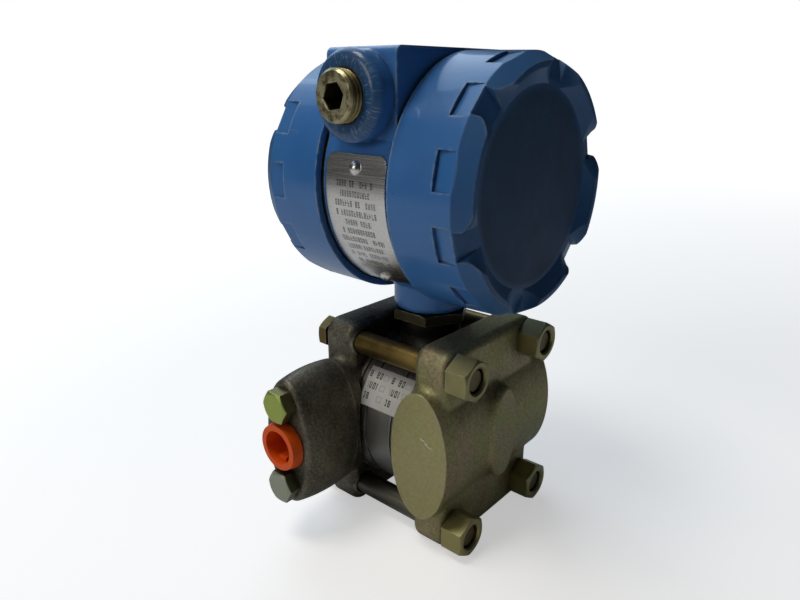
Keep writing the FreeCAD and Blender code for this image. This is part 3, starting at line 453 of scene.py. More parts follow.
def place_share(axis, low, high):
    """A share that grows from 0 to 1 between two places along X, Y or Z."""
    return lambda tree: spread(tree, xyz(tree)["XYZ".index(axis)], low, high)


def by_place(share, first, second):
    """A tone that goes from the first tone to the second as a share of the place grows."""
    return lambda tree: mixed(tree, share(tree), toned(tree, first), toned(tree, second))


# Lit end faces and shaded flanks: a painted highlight and painted shade on the same plating.
lit_end_share = place_share("Y", head_end + shaded_side_from, head_end + lit_end_to)
adapter_bolt_finish = plated_finish("yellow_green_plating", by_place(lit_end_share, grey_shaded_side, grey_lit_end),
                                    by_place(lit_end_share, green_shaded_side, green_lit_end),
                                    place_share("Z", -bolt_tone_blend, bolt_tone_blend))
dress(adapter_bolt_finish, "adapter_bolts")

# The shipping plug is a soft moulded cup in bright orange, with a thick lip and a grip tab inside its wall.
# Light enters the plastic a little, its mouth is scuffed, and dirt and painted shade darken its corners.
orange_deep, orange_bright = (0.72, 0.080, 0.004), (0.88, 0.120, 0.007)
orange_scuff = (0.80, 0.13, 0.02)
orange_dirt_and_shade = (0.10, 0.010, 0.003)
orange, tree, shader = finish("orange_moulding", Specular_IOR_Level=0.22, Subsurface_Weight=0.12,
                              Subsurface_Scale=0.002, Subsurface_Radius=(1.0, 0.25, 0.08))
swirl = grain(tree, (140.0, 60.0, 140.0), 4.0)
wear = use(tree, edge_wear, Reach=0.0007, Patches=260.0)
dirt_and_shade = use(tree, dirt_and_corner_shade, Reach=0.006, Amount=0.9)["Dirt"]
moulding = mixed(tree, swirl, orange_deep, orange_bright)
moulding = coated(tree, moulding, wear["Wear"], orange_scuff, 0.2)
moulding = coated(tree, moulding, dirt_and_shade, orange_dirt_and_shade, 0.75)
join(tree, shader, Base_Color=moulding, Roughness=varied(tree, swirl, 0.34, 0.5),
     Normal=bumped(tree, swirl, 0.00008, wear["Normal"]))
dress(orange, "port_plug")

# The vent valve on the process flange's rear pad is a hex seat with a pointed screw in it.
# Both are turned from stainless bar and left bright, with dirt and painted shade in their corners.
bar_dark, bar_pale = (0.40, 0.39, 0.36), (0.55, 0.54, 0.50)
bar_dirt_and_shade = (0.05, 0.047, 0.04)
turned_bar, tree, shader = finish("turned_bar_steel", Metallic=1.0)
lines = grain(tree, (60.0, 4200.0, 60.0), 2.0)
wear = use(tree, edge_wear, Reach=0.0006, Round=0.0003)
dirt_and_shade = use(tree, dirt_and_corner_shade, Reach=0.004)["Dirt"]
bar = coated(tree, mixed(tree, lines, bar_dark, bar_pale), dirt_and_shade, bar_dirt_and_shade)
join(tree, shader, Base_Color=bar, Roughness=varied(tree, lines, 0.26, 0.40),
     Normal=bumped(tree, lines, 0.00003, wear["Normal"]))
dress(turned_bar, "vent_valve_seat", "vent_valve_stem")

# The blank flange is the same casting with an olive chromate finish that shows green and pinkish patches.
# Its front pad is machined flat, lighter, and has a short pale scratch. Dirt and painted shade darken its corners.
olive_dark, olive_pale = (0.27, 0.230, 0.122), (0.45, 0.395, 0.225)
olive_green, olive_pink = (0.32, 0.340, 0.125), (0.42, 0.255, 0.17)
olive_crest, olive_hollow = (0.56, 0.52, 0.36), (0.13, 0.115, 0.060)
olive_pad = (0.46, 0.425, 0.200)
olive_rubbed = (0.60, 0.56, 0.42)
olive_dirt_and_shade = (0.03, 0.027, 0.018)
pad_scratch = (0.75, 0.74, 0.68)
blank_low, blank_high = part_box("blank_flange")
pad_y = blank_low.y
pad_from, pad_to = 0.0003, 0.0001
scratch_offset = 0.004
scratch_x = (blank_low.x + blank_high.x) / 2 + scratch_offset
scratch_z = 0.009
scratch_slope = 0.55
scratch_half_width = 0.0004
scratch_half_length = 0.0035
scratch_wander = 0.004
olive, tree, shader = finish("olive_chromate_casting", Metallic=0.75)
skin = use(tree, casting_skin, Grain=900.0)
wear = use(tree, edge_wear, Reach=0.0014, Patches=200.0, Round=0.0009)
dirt_and_shade = use(tree, dirt_and_corner_shade, Reach=0.009)["Dirt"]
coords = own_coords(tree)
place = xyz(tree, coords)
green = spread(tree, noise(tree, coords, 62.0, 4.0), 0.44, 0.62)
pink = spread(tree, noise(tree, coords, 84.0, 5.0, 0.65), 0.53, 0.68)
on_pad = spread(tree, place[1], pad_y + pad_from, pad_y + pad_to)
crooked = times(tree, calc(tree, "SUBTRACT", noise(tree, coords, 420.0, 2.0), 0.5), scratch_wander)
across = calc(tree, "SUBTRACT", place[0], scratch_x)
slant = calc(tree, "ADD", calc(tree, "SUBTRACT", place[2], scratch_z), times(tree, across, scratch_slope))
scratch = calc(tree, "COMPARE", calc(tree, "ADD", slant, crooked), 0.0, scratch_half_width)
scratch = times(tree, scratch, calc(tree, "COMPARE", across, 0.0, scratch_half_length), on_pad)
chromate = mixed(tree, varied(tree, skin["Mottle"]), olive_dark, olive_pale)
chromate = coated(tree, chromate, green, olive_green, 0.7)
chromate = coated(tree, chromate, pink, olive_pink, 0.6)
chromate = coated(tree, chromate, skin["Pale"], olive_crest, 0.40)
chromate = coated(tree, chromate, skin["Dark"], olive_hollow, 0.50)
chromate = coated(tree, chromate, on_pad, olive_pad, 0.6)
chromate = coated(tree, chromate, scratch, pad_scratch, 0.8)
chromate = coated(tree, chromate, wear["Wear"], olive_rubbed, 0.5)
chromate = coated(tree, chromate, dirt_and_shade, olive_dirt_and_shade, 0.9)
height = times(tree, skin["Height"], spread(tree, on_pad, 0.0, 1.0, 1.0, 0.12))
join(tree, shader, Base_Color=chromate, Roughness=varied(tree, skin["Mottle"], 0.46, 0.62),
     Normal=bumped(tree, height, 0.00020, wear["Normal"]))
dress(olive, "blank_flange")

# Four through bolts clamp the flanges, with heads on the process side and hex nuts on the blank side.
# The plated shanks have turned golden brown, and a painted highlight brightens them towards the nuts; the nuts are
# olive grey.
far_lower, far_upper = (0.115, 0.108, 0.088), (0.125, 0.085, 0.022)
lit_near_lower, lit_near_upper = (0.15, 0.14, 0.11), (0.27, 0.185, 0.055)
bolt_end = (0.13, 0.10, 0.045)
nut_lower, nut_upper = (0.385, 0.350, 0.150), (0.285, 0.258, 0.120)
nut_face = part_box("flange_nuts")[0].x
nut_mouth = 0.002
highlight_from, highlight_to = 0.045, 0.018
shank_tone_blend = 0.005
nut_tone_reach = 0.05
above = place_share("Z", -shank_tone_blend, shank_tone_blend)
in_nut = place_share("X", nut_face, nut_face + nut_mouth)
# Towards the nuts the shank takes lighter tones: a painted highlight.
lit_near_shank = by_place(in_nut, by_place(above, lit_near_lower, lit_near_upper), bolt_end)
bolt_finish = plated_finish("golden_shank_plating", by_place(above, far_lower, far_upper), lit_near_shank,
                            place_share("X", nut_face - highlight_from, nut_face - highlight_to))
nut_finish = plated_finish("olive_nut_plating", nut_lower, nut_upper,
                           place_share("Z", -nut_tone_reach, nut_tone_reach))
dress(bolt_finish, "flange_bolts")
dress(nut_finish, "flange_nuts")

# The thin lock nut sits on the neck under the housing and holds it at its angle.
# It is plated like the bolts, and painted dark as shade under the housing, darkest towards its top and in its
# corners.
lock_shaded_lower, lock_shaded_upper = (0.075, 0.066, 0.028), (0.04, 0.036, 0.02)
lock_shade_low, lock_shade_high = 0.05, 0.056
# Painted shade: dark all over, and darker still towards the top under the housing.
lock_finish = plated_finish("shade_darkened_nut_plating", lock_shaded_lower, lock_shaded_upper,
                            place_share("Z", lock_shade_low, lock_shade_high), reach=0.015)
dress(lock_finish, "lock_nut")

# The housing and its screw covers are aluminium castings in blue enamel, sprayed and stoved: glossy, with a
# faint orange peel. Edges are chipped to a pale primer, and the hub round the conduit plug is scratched by tools
# and darkened by grime and painted shade. The covers' faces are dull under a dark film of grime and painted
# shade, their chamfers carry painted shade, and corners are darkened by dirt and painted shade.
enamel_deep, enamel_light = (0.034, 0.144, 0.392), (0.044, 0.172, 0.450)
pale_primer = (0.30, 0.40, 0.50)
scratch_grey = (0.28, 0.36, 0.44)
dark_speck = (0.02, 0.03, 0.05)
grime_and_shade_blue = (0.018, 0.046, 0.088)
hub_grime_and_shade = (0.011, 0.034, 0.070)
enamel_dirt_and_shade = (0.008, 0.013, 0.022)
joints = {joint["name"]: joint for joint in frame["joints"]}
barrel_axis = np.array(joints["front_cover_turn"]["pos_m"]) * (0.0, 1.0, 1.0)
cover_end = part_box("front_cover")[1].x
face_sink = 0.004
face_x = cover_end - face_sink
face_radius = 0.0417
face_grime_shade_from, face_grime_shade_full = 0.0006, 0.0002
face_fade_out, face_fade_in = 0.004, 0.003
chamfer_length = 0.0076
chamfer_x = cover_end - chamfer_length
chamfer_blend = 0.0006
chamfer_painted_shade = 0.52
entry = next(m for m in frame["record"]["mounts"] if m["name"] == "rear_conduit_entry")
entry_height = entry["pos_m"][2]
hub_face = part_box("housing")[0].y
hub_radius = 0.0178
hub_fade_out, hub_fade_in = 0.001, 0.002
hub_band_from, hub_band_full = 0.006, 0.002
nicks_around, nicks_outward = 26.0, 260.0


def enamel_skin_group():
    """Sprayed enamel: a slow wave of orange peel, sparse specks, and a slow change of tone."""
    outputs = {"Height": "Float", "Tone": "Float", "Speck": "Float"}
    tree, given, result = effect("enamel_skin", {"Peel": 420.0}, outputs)
    coords = own_coords(tree)
    peel = noise(tree, coords, given["Peel"], 2.0, 0.4)
    sag = noise(tree, coords, times(tree, given["Peel"], 0.12), 2.0)
    cells = add(tree, "TexVoronoi", {"Vector": coords, "Scale": times(tree, given["Peel"], 0.5)})
    rare = add(tree, "SeparateColor", {0: cells.outputs["Color"]}).outputs[0]
    dot = spread(tree, cells.outputs["Distance"], 0.11, 0.06)
    join(tree, result, Height=calc(tree, "ADD", peel, times(tree, sag, 2.5)),
         Tone=noise(tree, coords, times(tree, given["Peel"], 0.06), 5.0, 0.6),
         Speck=times(tree, dot, calc(tree, "GREATER_THAN", rare, 0.93)))
    return tree


def scratches_group():
    """Long thin marks in patches: the crests of two noises, each stretched along a line of its own. Share
    says how far down the crests reach."""
    tree, given, result = effect("scratches", {"Share": 0.06}, {"Mark": "Float"})
    first = grain(tree, (60.0, 1400.0, 1400.0), 2.0, turn=(0.3, 0.5, 0.9))
    second = grain(tree, (1300.0, 50.0, 1300.0), 2.0, turn=(0.6, 0.2, 0.4))
    low = calc(tree, "SUBTRACT", 0.74, given["Share"])
    marks = calc(tree, "MAXIMUM", spread(tree, first, low, 0.78), spread(tree, second, low, 0.78))
    patches = spread(tree, noise(tree, own_coords(tree), 55.0), 0.48, 0.62)
    join(tree, result, Mark=times(tree, marks, patches))
    return tree


def length(tree, first, second):
    """The length of two values at right angles: the root of the sum of their squares."""
    return calc(tree, "SQRT", calc(tree, "ADD", times(tree, first, first), times(tree, second, second)))


enamel_skin = enamel_skin_group()
scratches = scratches_group()
enamel, tree, shader = finish("blue_enamel", Coat_Roughness=0.06, Specular_IOR_Level=0.30)
skin = use(tree, enamel_skin)
wear = use(tree, edge_wear, Reach=0.0012, Patches=240.0, Amount=1.3, Round=0.0010)
dirt_and_shade = use(tree, dirt_and_corner_shade, Reach=0.005, Amount=0.9)["Dirt"]
mark = use(tree, scratches)["Mark"]
coords = own_coords(tree)
place = xyz(tree, coords)
off_axis = length(tree, *(calc(tree, "SUBTRACT", place[k], barrel_axis[k]) for k in (1, 2)))
endward = calc(tree, "ABSOLUTE", place[0])
# A dark, dull film: grime and painted shade on the covers' faces, painted shade on their chamfers.
on_face = times(tree, spread(tree, endward, face_x - face_grime_shade_from, face_x - face_grime_shade_full),
                spread(tree, off_axis, face_radius + face_fade_out, face_radius - face_fade_in))
on_chamfer = spread(tree, endward, chamfer_x, chamfer_x + chamfer_blend, 0.0, chamfer_painted_shade)
grime_and_shade_film = times(tree, calc(tree, "MAXIMUM", on_face, on_chamfer),
             varied(tree, noise(tree, coords, 70.0, 6.0, 0.7), 0.74, 0.92))
rise = calc(tree, "SUBTRACT", place[2], entry_height)
off_entry = length(tree, place[0], rise)
on_hub = times(tree, spread(tree, off_entry, hub_radius + hub_fade_out, hub_radius - hub_fade_in),
               spread(tree, place[1], hub_face + hub_band_from, hub_face + hub_band_full))
around = calc(tree, "ARCTAN2", rise, place[0])
rays = add(tree, "CombineXYZ", {0: times(tree, around, nicks_around),
                                1: times(tree, off_entry, nicks_outward)}).outputs[0]
nick = times(tree, spread(tree, noise(tree, rays, 1.0, 3.0, 0.6), 0.57, 0.66), on_hub)
paint = mixed(tree, varied(tree, skin["Tone"]), enamel_deep, enamel_light)
paint = coated(tree, paint, wear["Wear"], pale_primer, 0.75)
paint = coated(tree, paint, mark, scratch_grey, 0.5)
paint = coated(tree, paint, skin["Speck"], dark_speck, 0.5)
paint = coated(tree, paint, grime_and_shade_film, grime_and_shade_blue)
# Grime and painted shade darken the hub's face round the plug.
paint = coated(tree, paint, on_hub, hub_grime_and_shade, 0.68)
paint = coated(tree, paint, nick, pale_primer, 0.55)
paint = coated(tree, paint, dirt_and_shade, enamel_dirt_and_shade, 0.8)
dull = calc(tree, "ADD", varied(tree, skin["Tone"], 0.28, 0.38), times(tree, wear["Wear"], 0.25))
join(tree, shader, Base_Color=paint, Roughness=calc(tree, "ADD", dull, times(tree, grime_and_shade_film, 0.25)),
     Coat_Weight=spread(tree, grime_and_shade_film, 0.0, 0.8, 0.34, 0.04),
     Normal=bumped(tree, skin["Height"], 0.00006, wear["Normal"]))
dress(enamel, "housing", "front_cover", "rear_cover")

# Threads on the housing: both spigots outside, and the two conduit entries inside.
# They are cut in the bare aluminium, so they are bright metal, darkened a little in their roots by grease and
# painted shade. The near entry's thread is shallow, because the plug fills it.
cut_dark, cut_pale = (0.42, 0.42, 0.43), (0.62, 0.62, 0.62)
thread_grease_and_shade = (0.10, 0.085, 0.06)
thread_seat = 0.0002
spigot_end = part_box("housing")[1].x
spigot_radius = 0.0482
spigot_pitch = 0.0021
spigot_thread = 0.0120
spigot_crest = 0.00030
spigot_plain = 0.0008
entry_radius = entry["dims"]["r_mm"] / 1000
entry_pitch = 0.00181
entry_runout = 0.002
entry_thread = entry["dims"]["length_mm"] / 1000 - entry_runout
entry_plain = 0.0012
rear_entry_depth, near_entry_depth = 0.0010, 0.00024


def closed_skin(label, grid, ring=False):
    """A closed surface through a grid of points, rows by columns. Columns close on themselves, and so do
    the rows of a ring. Rows that are one point become poles, and doubles are merged before the normals are
    set."""
    merge_gap, crease = 1e-7, np.radians(35.0)
    rows, columns, _ = grid.shape
    index = np.arange(rows * columns).reshape(rows, columns)
    if ring:
        index = np.vstack([index, index[:1]])
    after = np.roll(index, -1, axis=1)
    faces = np.stack([index[:-1], after[:-1], after[1:], index[1:]], -1).reshape(-1, 4)
    mesh = bpy.data.meshes.new(label)
    mesh.from_pydata(grid.reshape(-1, 3).tolist(), [], faces.tolist())
    shape = bmesh.new()
    shape.from_mesh(mesh)
    bmesh.ops.remove_doubles(shape, verts=shape.verts, dist=merge_gap)
    bmesh.ops.recalc_face_normals(shape, faces=shape.faces)
    shape.to_mesh(mesh)
    shape.free()
    mesh.shade_smooth()
    mesh.set_sharp_from_angle(angle=crease)
    piece = bpy.data.objects.new(label, mesh)
    bpy.context.scene.collection.objects.link(piece)
    return piece


def laid(around, along, radius, origin, axis, side):
    """Points at an angle, a distance along an axis and a radius from it, from arrays of the three.
    Side is the direction where the angle is nought."""
    axis = np.array(axis, float)
    side = np.array(side, float)
    third = np.cross(axis, side)
    out = side * np.cos(around)[..., None] + third * np.sin(around)[..., None]
    return np.array(origin) + out * radius[..., None] + axis * along[..., None]


def thread_wave(turns):
    """A thread's rise from 0 at the root to 1 at the crest: a triangle wave with both tips cut flat."""
    cut, flank = 0.14, 0.72
    triangle = 1 - np.abs(2 * (turns - np.floor(turns)) - 1)
    return np.clip((triangle - cut) / flank, 0, 1)


def thread_ring(label, origin, axis, side, wall, crest, length, pitch, columns=96):
    """A threaded sleeve. Its wall lies inside the metal. The other side swings between crest and root as
    the helix goes round, and the root lies a quarter of the way from the wall to the crest. The rise fades
    out over the last turn at both ends."""
    rows_a_turn, root_share = 10, 0.25
    rows = int(length / pitch * rows_a_turn)
    around, share = np.meshgrid(np.linspace(0, 2 * np.pi, columns, endpoint=False),
                                np.linspace(0, 1, rows), indexing="xy")
    along = share * length
    fade = np.clip(np.minimum(share, 1 - share) * length / pitch, 0, 1)
    root = wall + (crest - wall) * root_share
    threaded = root + (crest - root) * thread_wave(along / pitch - around / (2 * np.pi)) * fade
    outer = laid(around, along, threaded, origin, axis, side)
    back = laid(around[::-1], along[::-1], np.full_like(threaded, wall), origin, axis, side)
    return closed_skin(label, np.concatenate([outer, back[[0, -1]]]), ring=True)


bare, tree, shader = finish("cut_aluminium", Metallic=1.0)
tooling = grain(tree, 700.0, 4.0)
grease_and_shade = use(tree, dirt_and_corner_shade, Reach=0.003, Patches=220.0)["Dirt"]
metal = coated(tree, mixed(tree, tooling, cut_dark, cut_pale), grease_and_shade, thread_grease_and_shade, 0.8)
join(tree, shader, Base_Color=metal, Roughness=varied(tree, tooling, 0.28, 0.45),
     Normal=bumped(tree, tooling, 0.00003))

for facing, sign in (("front", 1.0), ("rear", -1.0)):
    start = barrel_axis + (sign * (spigot_end - spigot_thread - spigot_plain), 0.0, 0.0)
    thread = thread_ring(facing + "_spigot_thread", start, (sign, 0, 0), (0, 0, 1),
                         spigot_radius - thread_seat, spigot_radius + spigot_crest, spigot_thread,
                         spigot_pitch, columns=192)
    thread.data.materials.append(bare)
    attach(thread, "housing")

for facing, mouth, inward, depth in (("rear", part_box("housing")[1].y, -1.0, rear_entry_depth),
                                     ("near", hub_face, 1.0, near_entry_depth)):
    start = (0.0, mouth + inward * entry_plain, entry_height)
    thread = thread_ring(facing + "_entry_thread", start, (0, inward, 0), (1, 0, 0),
                         entry_radius + thread_seat, entry_radius - depth, entry_thread, entry_pitch)
    thread.data.materials.append(bare)
    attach(thread, "housing")

# The four bracket holes in the flanges' rear pads and the adapter's port are tapped in the bare castings.
# They are fixed with the flanges, and the port's thread is shallow so that the plug slides past it.
bracket = next(m for m in frame["record"]["mounts"] if m["name"] == "bracket_holes")
bracket_radius = bracket["dims"]["hole_r_mm"] / 1000
bracket_half_x = bracket["dims"]["spacing_x_mm"] / 2000
bracket_half_z = bracket["dims"]["spacing_y_mm"] / 2000
bracket_pitch = 0.00127
bracket_thread = 0.0140
bracket_depth = 0.00060
bracket_plain = 0.0008
port_radius = 0.0104
port_length = 0.0180
port_depth = 0.00022
port_plain = 0.0012
for number, (x_sign, z_sign) in enumerate(((-1, -1), (-1, 1), (1, -1), (1, 1)), 1):
    start = (x_sign * bracket_half_x, bracket["pos_m"][1] - bracket_plain, z_sign * bracket_half_z)
    thread = thread_ring("bracket_thread_" + str(number), start, (0, -1, 0), (1, 0, 0),
                         bracket_radius + thread_seat, bracket_radius - bracket_depth, bracket_thread,
                         bracket_pitch, columns=64)
    thread.data.materials.append(bare)
    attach(thread, "base")

start = (-bracket_half_x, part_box("flange_adapter")[0].y + port_plain, 0.0)
port_thread = thread_ring("adapter_port_thread", start, (0, 1, 0), (1, 0, 0), port_radius + thread_seat,
                          port_radius - port_depth, port_length, entry_pitch)
port_thread.data.materials.append(bare)
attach(port_thread, "base")

# The rear compartment holds a terminal block moulded in black phenolic, screwed to the dividing wall.
# Its slotted screws and washers are plated brass, and so are the posts of the circuit boards.
phenolic_dark, phenolic_pale = (0.014, 0.013, 0.012), (0.028, 0.026, 0.024)
phenolic_worn = (0.10, 0.095, 0.09)
block_dust_and_shade = (0.07, 0.065, 0.055)
brass_fresh, brass_aged = (0.62, 0.44, 0.14), (0.52, 0.42, 0.22)
ageing_low, ageing_high = 0.10, 0.14
block_plastic, tree, shader = finish("moulded_phenolic", Specular_IOR_Level=0.45)
moulded = grain(tree, 1300.0, 4.0)
wear = use(tree, edge_wear, Reach=0.0006, Round=0.0004)
# Dust and painted shade darken its corners.
dust_and_shade = use(tree, dirt_and_corner_shade, Reach=0.006)["Dirt"]
phenolic = mixed(tree, moulded, phenolic_dark, phenolic_pale)
phenolic = coated(tree, phenolic, wear["Wear"], phenolic_worn, 0.4)
phenolic = coated(tree, phenolic, dust_and_shade, block_dust_and_shade, 0.5)
join(tree, shader, Base_Color=phenolic, Roughness=varied(tree, moulded, 0.38, 0.55),
     Normal=bumped(tree, moulded, 0.00004, wear["Normal"]))
dress(block_plastic, "terminal_block")
brass_finish = plated_finish("plated_brass", brass_fresh, brass_aged,
                             place_share("Z", ageing_low, ageing_high), (0.22, 0.38))
dress(brass_finish, "terminal_screws", "terminal_washers", "board_standoffs")

# The front compartment holds two round circuit boards on posts, held by three plated screws.
# They are green glass laminate with copper runs under the lacquer.
laminate_dark, laminate_pale = (0.012, 0.075, 0.030), (0.020, 0.11, 0.045)
copper_run = (0.05, 0.20, 0.07)
screw_fresh, screw_aged = (0.55, 0.55, 0.54), (0.45, 0.45, 0.43)
board_material, tree, shader = finish("green_laminate", Coat_Weight=0.4, Coat_Roughness=0.15)
flat = add(tree, "Mapping", {"Vector": own_coords(tree), "Scale": (0.0, 1.0, 1.0)}).outputs[0]
cells = add(tree, "TexVoronoi", {"Vector": flat, "Scale": 210.0, "Randomness": 0.35},
            distance="MANHATTAN", feature="DISTANCE_TO_EDGE")
runs = spread(tree, cells.outputs["Distance"], 0.10, 0.06)
weave = grain(tree, 900.0)
laminate = coated(tree, mixed(tree, weave, laminate_dark, laminate_pale), runs, copper_run, 0.7)
join(tree, shader, Base_Color=laminate, Roughness=varied(tree, weave, 0.35, 0.5),
     Normal=bumped(tree, runs, 0.00004))
dress(board_material, "amplifier_board", "calibration_board")
screw_finish = plated_finish("bright_screw_plating", screw_fresh, screw_aged,
                             place_share("Z", ageing_low, ageing_high), (0.22, 0.36))
dress(screw_finish, "board_screws")

# The conduit plug is turned from bar, threaded, and yellow passivated: a golden thread and a dull olive
# face with dark stains. A hex key socket goes down its middle.
gold_side = (0.24, 0.185, 0.055)
olive_face, stained_face = (0.54, 0.48, 0.29), (0.15, 0.125, 0.065)
plug_low, plug_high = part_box("conduit_plug")
plug_radius = (plug_high.x - plug_low.x) / 2
plug_length = plug_high.y - plug_low.y
plug_pitch = 0.00181
plug_thread_depth = 0.00095
plug_taper = 0.0005
plug_stand = 0.0058
plug_chamfer = 0.0010
plug_face_depth = 0.0012
socket_width = 0.0096
socket_depth = 0.0100
socket_drill = 0.0016
socket_lip = 0.0004
socket_turn = np.radians(8.0)


def plug_grid(columns=120, thread_rows=150):
    """One grid from the inner end's middle, out along the threaded side, over the chamfer and the face, and
    down the hex socket to its drilled point. Angles run round the columns, and one of them falls on each
    corner of the socket. The thread fades in and out over a share of its length at its two ends."""
    fade_in, fade_out = 1 / 12, 1 / 30
    around = socket_turn + np.linspace(0, 2 * np.pi, columns, endpoint=False)
    sector = np.mod(around - socket_turn, np.pi / 3) - np.pi / 6
    hexagon = socket_width / 2 / np.cos(sector)
    share = np.linspace(0, 1, thread_rows)[:, None]
    along = share * (plug_length - plug_chamfer)
    taper = plug_taper * np.clip(1 - along / (plug_length - plug_stand), 0, 1)
    fade = np.clip(share / fade_in, 0, 1) * np.clip((1 - share) / fade_out, 0, 1)
    groove = plug_thread_depth * (1 - thread_wave(along / plug_pitch - around / (2 * np.pi))) * fade
    side = plug_radius - taper - groove
    face = plug_length
    flat_rows = [(hexagon * 0, 0.0), (side[0] * 0.6, 0.0)]
    face_rows = [(around * 0 + plug_radius - plug_chamfer * 0.75, face - plug_chamfer * 0.25),
                 (around * 0 + plug_radius - plug_chamfer * 1.05, face),
                 ((plug_radius - plug_chamfer + hexagon) / 2, face),
                 (hexagon + socket_lip, face), (hexagon, face - socket_lip),
                 (hexagon, face - socket_depth), (hexagon * 0, face - socket_depth - socket_drill)]
    rows = [(r, around * 0 + a) for r, a in flat_rows]
    rows += list(zip(side, along + around * 0))
    rows += [(r, around * 0 + a) for r, a in face_rows]
    radius = np.stack([r for r, _ in rows])
    distance = np.stack([a for _, a in rows])
    origin = ((plug_low.x + plug_high.x) / 2, plug_high.y, (plug_low.z + plug_high.z) / 2)
    return laid(np.broadcast_to(around, radius.shape), distance, radius, origin, (0, -1, 0), (1, 0, 0))


def stains(tree):
    """A share that comes in blotches of a few millimetres."""
    return spread(tree, grain(tree, 230.0, 4.0, 0.65), 0.46, 0.60)


# Dirt and painted shade darken the plug's thread roots and corners over a long reach.
plug_finish = plated_finish("gold_passivation", gold_side, by_place(stains, olive_face, stained_face),
                            place_share("Y", plug_low.y + plug_face_depth, plug_low.y), (0.26, 0.44),
                            reach=0.012)
threaded_plug = closed_skin("threaded_conduit_plug", plug_grid())
threaded_plug.data.materials.append(plug_finish)
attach(threaded_plug, "conduit_plug")
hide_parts("conduit_plug")

# The side plate is brushed sheet metal rolled to the barrel, with rows of made-up strokes etched and filled
# black. Two dome-headed drive screws hold it.
sheet_dark, sheet_pale = (0.60, 0.575, 0.55), (0.76, 0.73, 0.70)
sheet_worn = (0.85, 0.83, 0.80)
etched_black = (0.03, 0.03, 0.03)
first_row = np.radians(84.5)
row_angle = np.radians(4.6)
plate_rows = 10.0
plate_metal, tree, shader = finish("brushed_side_plate", Metallic=1.0)
place = xyz(tree)
towards = calc(tree, "SUBTRACT", barrel_axis[1], place[1])
angle = calc(tree, "ARCTAN2", towards, calc(tree, "SUBTRACT", place[2], barrel_axis[2]))
down = calc(tree, "DIVIDE", calc(tree, "SUBTRACT", angle, first_row), row_angle)
cloud = grain(tree, 90.0, 4.0)
ink = use(tree, printed_rows, Across=place[0], Down=down, Letter=0.00145, Reach=0.0125, Height=0.31)["Ink"]
ink = times(tree, ink, calc(tree, "COMPARE", down, plate_rows / 2, plate_rows / 2),
            spread(tree, cloud, 0.3, 0.6, 0.6, 0.95))
brushing = grain(tree, (30.0, 3000.0, 3000.0))
wear = use(tree, edge_wear, Reach=0.0003, Round=0.0002)
sheet = mixed(tree, cloud, sheet_dark, sheet_pale)
sheet = coated(tree, sheet, wear["Wear"], sheet_worn, 0.3)
sheet = coated(tree, sheet, ink, etched_black)
join(tree, shader, Base_Color=sheet, Roughness=varied(tree, brushing, 0.20, 0.33),
     Normal=bumped(tree, brushing, 0.00002, wear["Normal"]))
dress(plate_metal, "side_plate", "side_plate_screws")

# The stage is a pale floor under the lowest faces, in a dim room. A bluish window and a patch of sky stand
# at the upper left, a warmer light hangs overhead, and a soft fill stands in front.
floor_dark, floor_pale = (0.74, 0.74, 0.74), (0.78, 0.78, 0.78)
floor_size = 12.0
near_glow, far_glow = 0.46, 1.0
glow_start, glow_end = 0.25, 1.6
floor_bounce = 0.03
floor_drop = 0.00005
room_dark, room_white = (0.026, 0.028, 0.030), (1.0, 1.0, 1.0)
pale, tree, shader = finish("pale_floor", Roughness=0.7, Specular_IOR_Level=0.1,
                            Emission_Color=(1.0, 1.0, 1.0, 1.0))
away = add(tree, "VectorMath", {0: own_coords(tree)}, operation="LENGTH").outputs["Value"]
seen = add(tree, "LightPath").outputs["Is Camera Ray"]
glow = times(tree, seen, spread(tree, away, glow_start, glow_end, near_glow, far_glow))
join(tree, shader, Base_Color=mixed(tree, grain(tree, 3.0), floor_dark, floor_pale),
     Emission_Strength=calc(tree, "ADD", glow, floor_bounce))
floor_lines = np.linspace(-floor_size, floor_size, 5)
across, deep = np.meshgrid(floor_lines, floor_lines)
level = np.full_like(across, cad_box[0].z - floor_drop)
floor = sheet_mesh("floor", np.stack([across, deep, level], -1), (across / floor_size, deep / floor_size))
floor.data.materials.append(pale)


def facing_matrix(place, back, right):
    """The matrix of a light or a camera at a place. Its own Z points back, and its own X points right."""
    turn = Matrix(np.stack([right, np.cross(back, right), back], -1)).to_4x4()
    return Matrix.Translation(place) @ turn


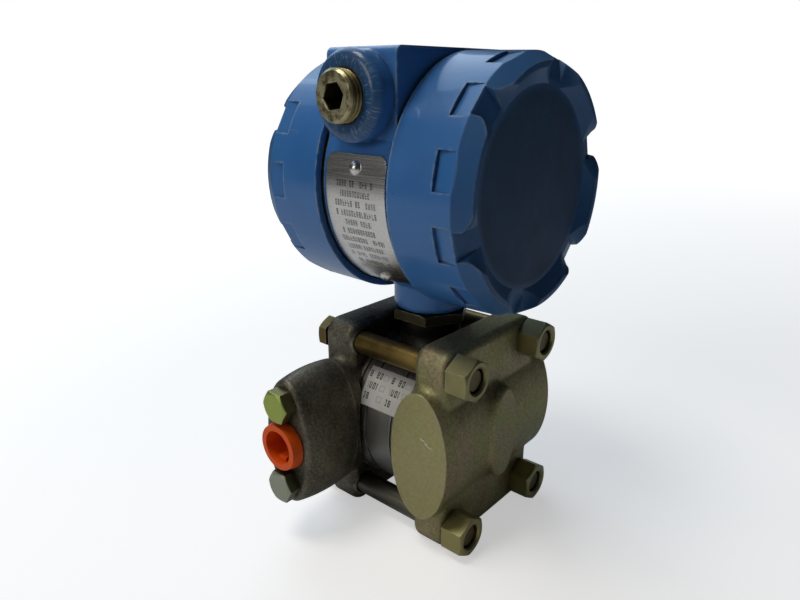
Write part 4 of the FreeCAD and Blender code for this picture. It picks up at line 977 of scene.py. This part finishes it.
def soft_light(label, place, target, width, height, power, colour):
    """A rectangular soft light at a place, facing a target."""
    lamp = bpy.data.lights.new(label, "AREA")
    lamp.shape = "RECTANGLE"
    lamp.energy = power
    lamp.size = width
    lamp.size_y = height
    lamp.color = colour
    light = bpy.data.objects.new(label, lamp)
    back = np.array(place) - np.array(target)
    back = back / np.linalg.norm(back)
    right = np.cross((0.0, 0.0, 1.0), back)
    light.matrix_world = facing_matrix(place, back, right / np.linalg.norm(right))
    bpy.context.scene.collection.objects.link(light)


middle = (cad_box[0] + cad_box[1]) / 2
soft_light("window_light", (-0.78, 0.42, 0.90), middle, width=0.85, height=0.90, power=4.6,
           colour=(0.68, 0.84, 1.0))
soft_light("sky_light", (-0.89, -0.05, 0.88), middle, width=0.55, height=0.55, power=1.0,
           colour=(0.60, 0.80, 1.0))
soft_light("overhead_light", (-0.28, -0.45, 1.20), middle, width=0.45, height=0.45, power=5.6,
           colour=(1.0, 0.965, 0.90))
soft_light("front_light", (-0.28, -1.12, 0.52), middle, width=0.42, height=0.60, power=2.6,
           colour=(1.0, 0.98, 0.95))

room = bpy.data.worlds.new("dim_room")
room.use_nodes = True
tree = room.node_tree
seen = add(tree, "LightPath").outputs["Is Camera Ray"]
join(tree, tree.nodes["Background"].inputs, Color=mixed(tree, seen, room_dark, room_white))
bpy.context.scene.world = room

# The camera stands where the photograph was taken from: close, a little above the housing's middle.
# Its place and focal length come from a fit to the flange bolts, covers, plug and adapter.
picture_width = 800.0
focal_pixels = 658.38
camera_target = np.array((-0.08489, 0.02845, 0.01959))
camera_distance = 0.44057
azimuth = np.radians(40.961)
elevation = np.radians(18.811)
back = np.array((np.sin(azimuth) * np.cos(elevation), -np.cos(azimuth) * np.cos(elevation),
                 np.sin(elevation)))
right = np.array((np.cos(azimuth), np.sin(azimuth), 0.0))
lens = bpy.data.cameras.new("camera")
lens.sensor_width = 36.0
lens.lens = lens.sensor_width * focal_pixels / picture_width
lens.clip_start = 0.01
camera = bpy.data.objects.new("camera", lens)
camera.matrix_world = facing_matrix(camera_target + back * camera_distance, back, right)
bpy.context.scene.collection.objects.link(camera)
bpy.context.scene.camera = camera
bpy.context.scene.view_settings.view_transform = "Standard"
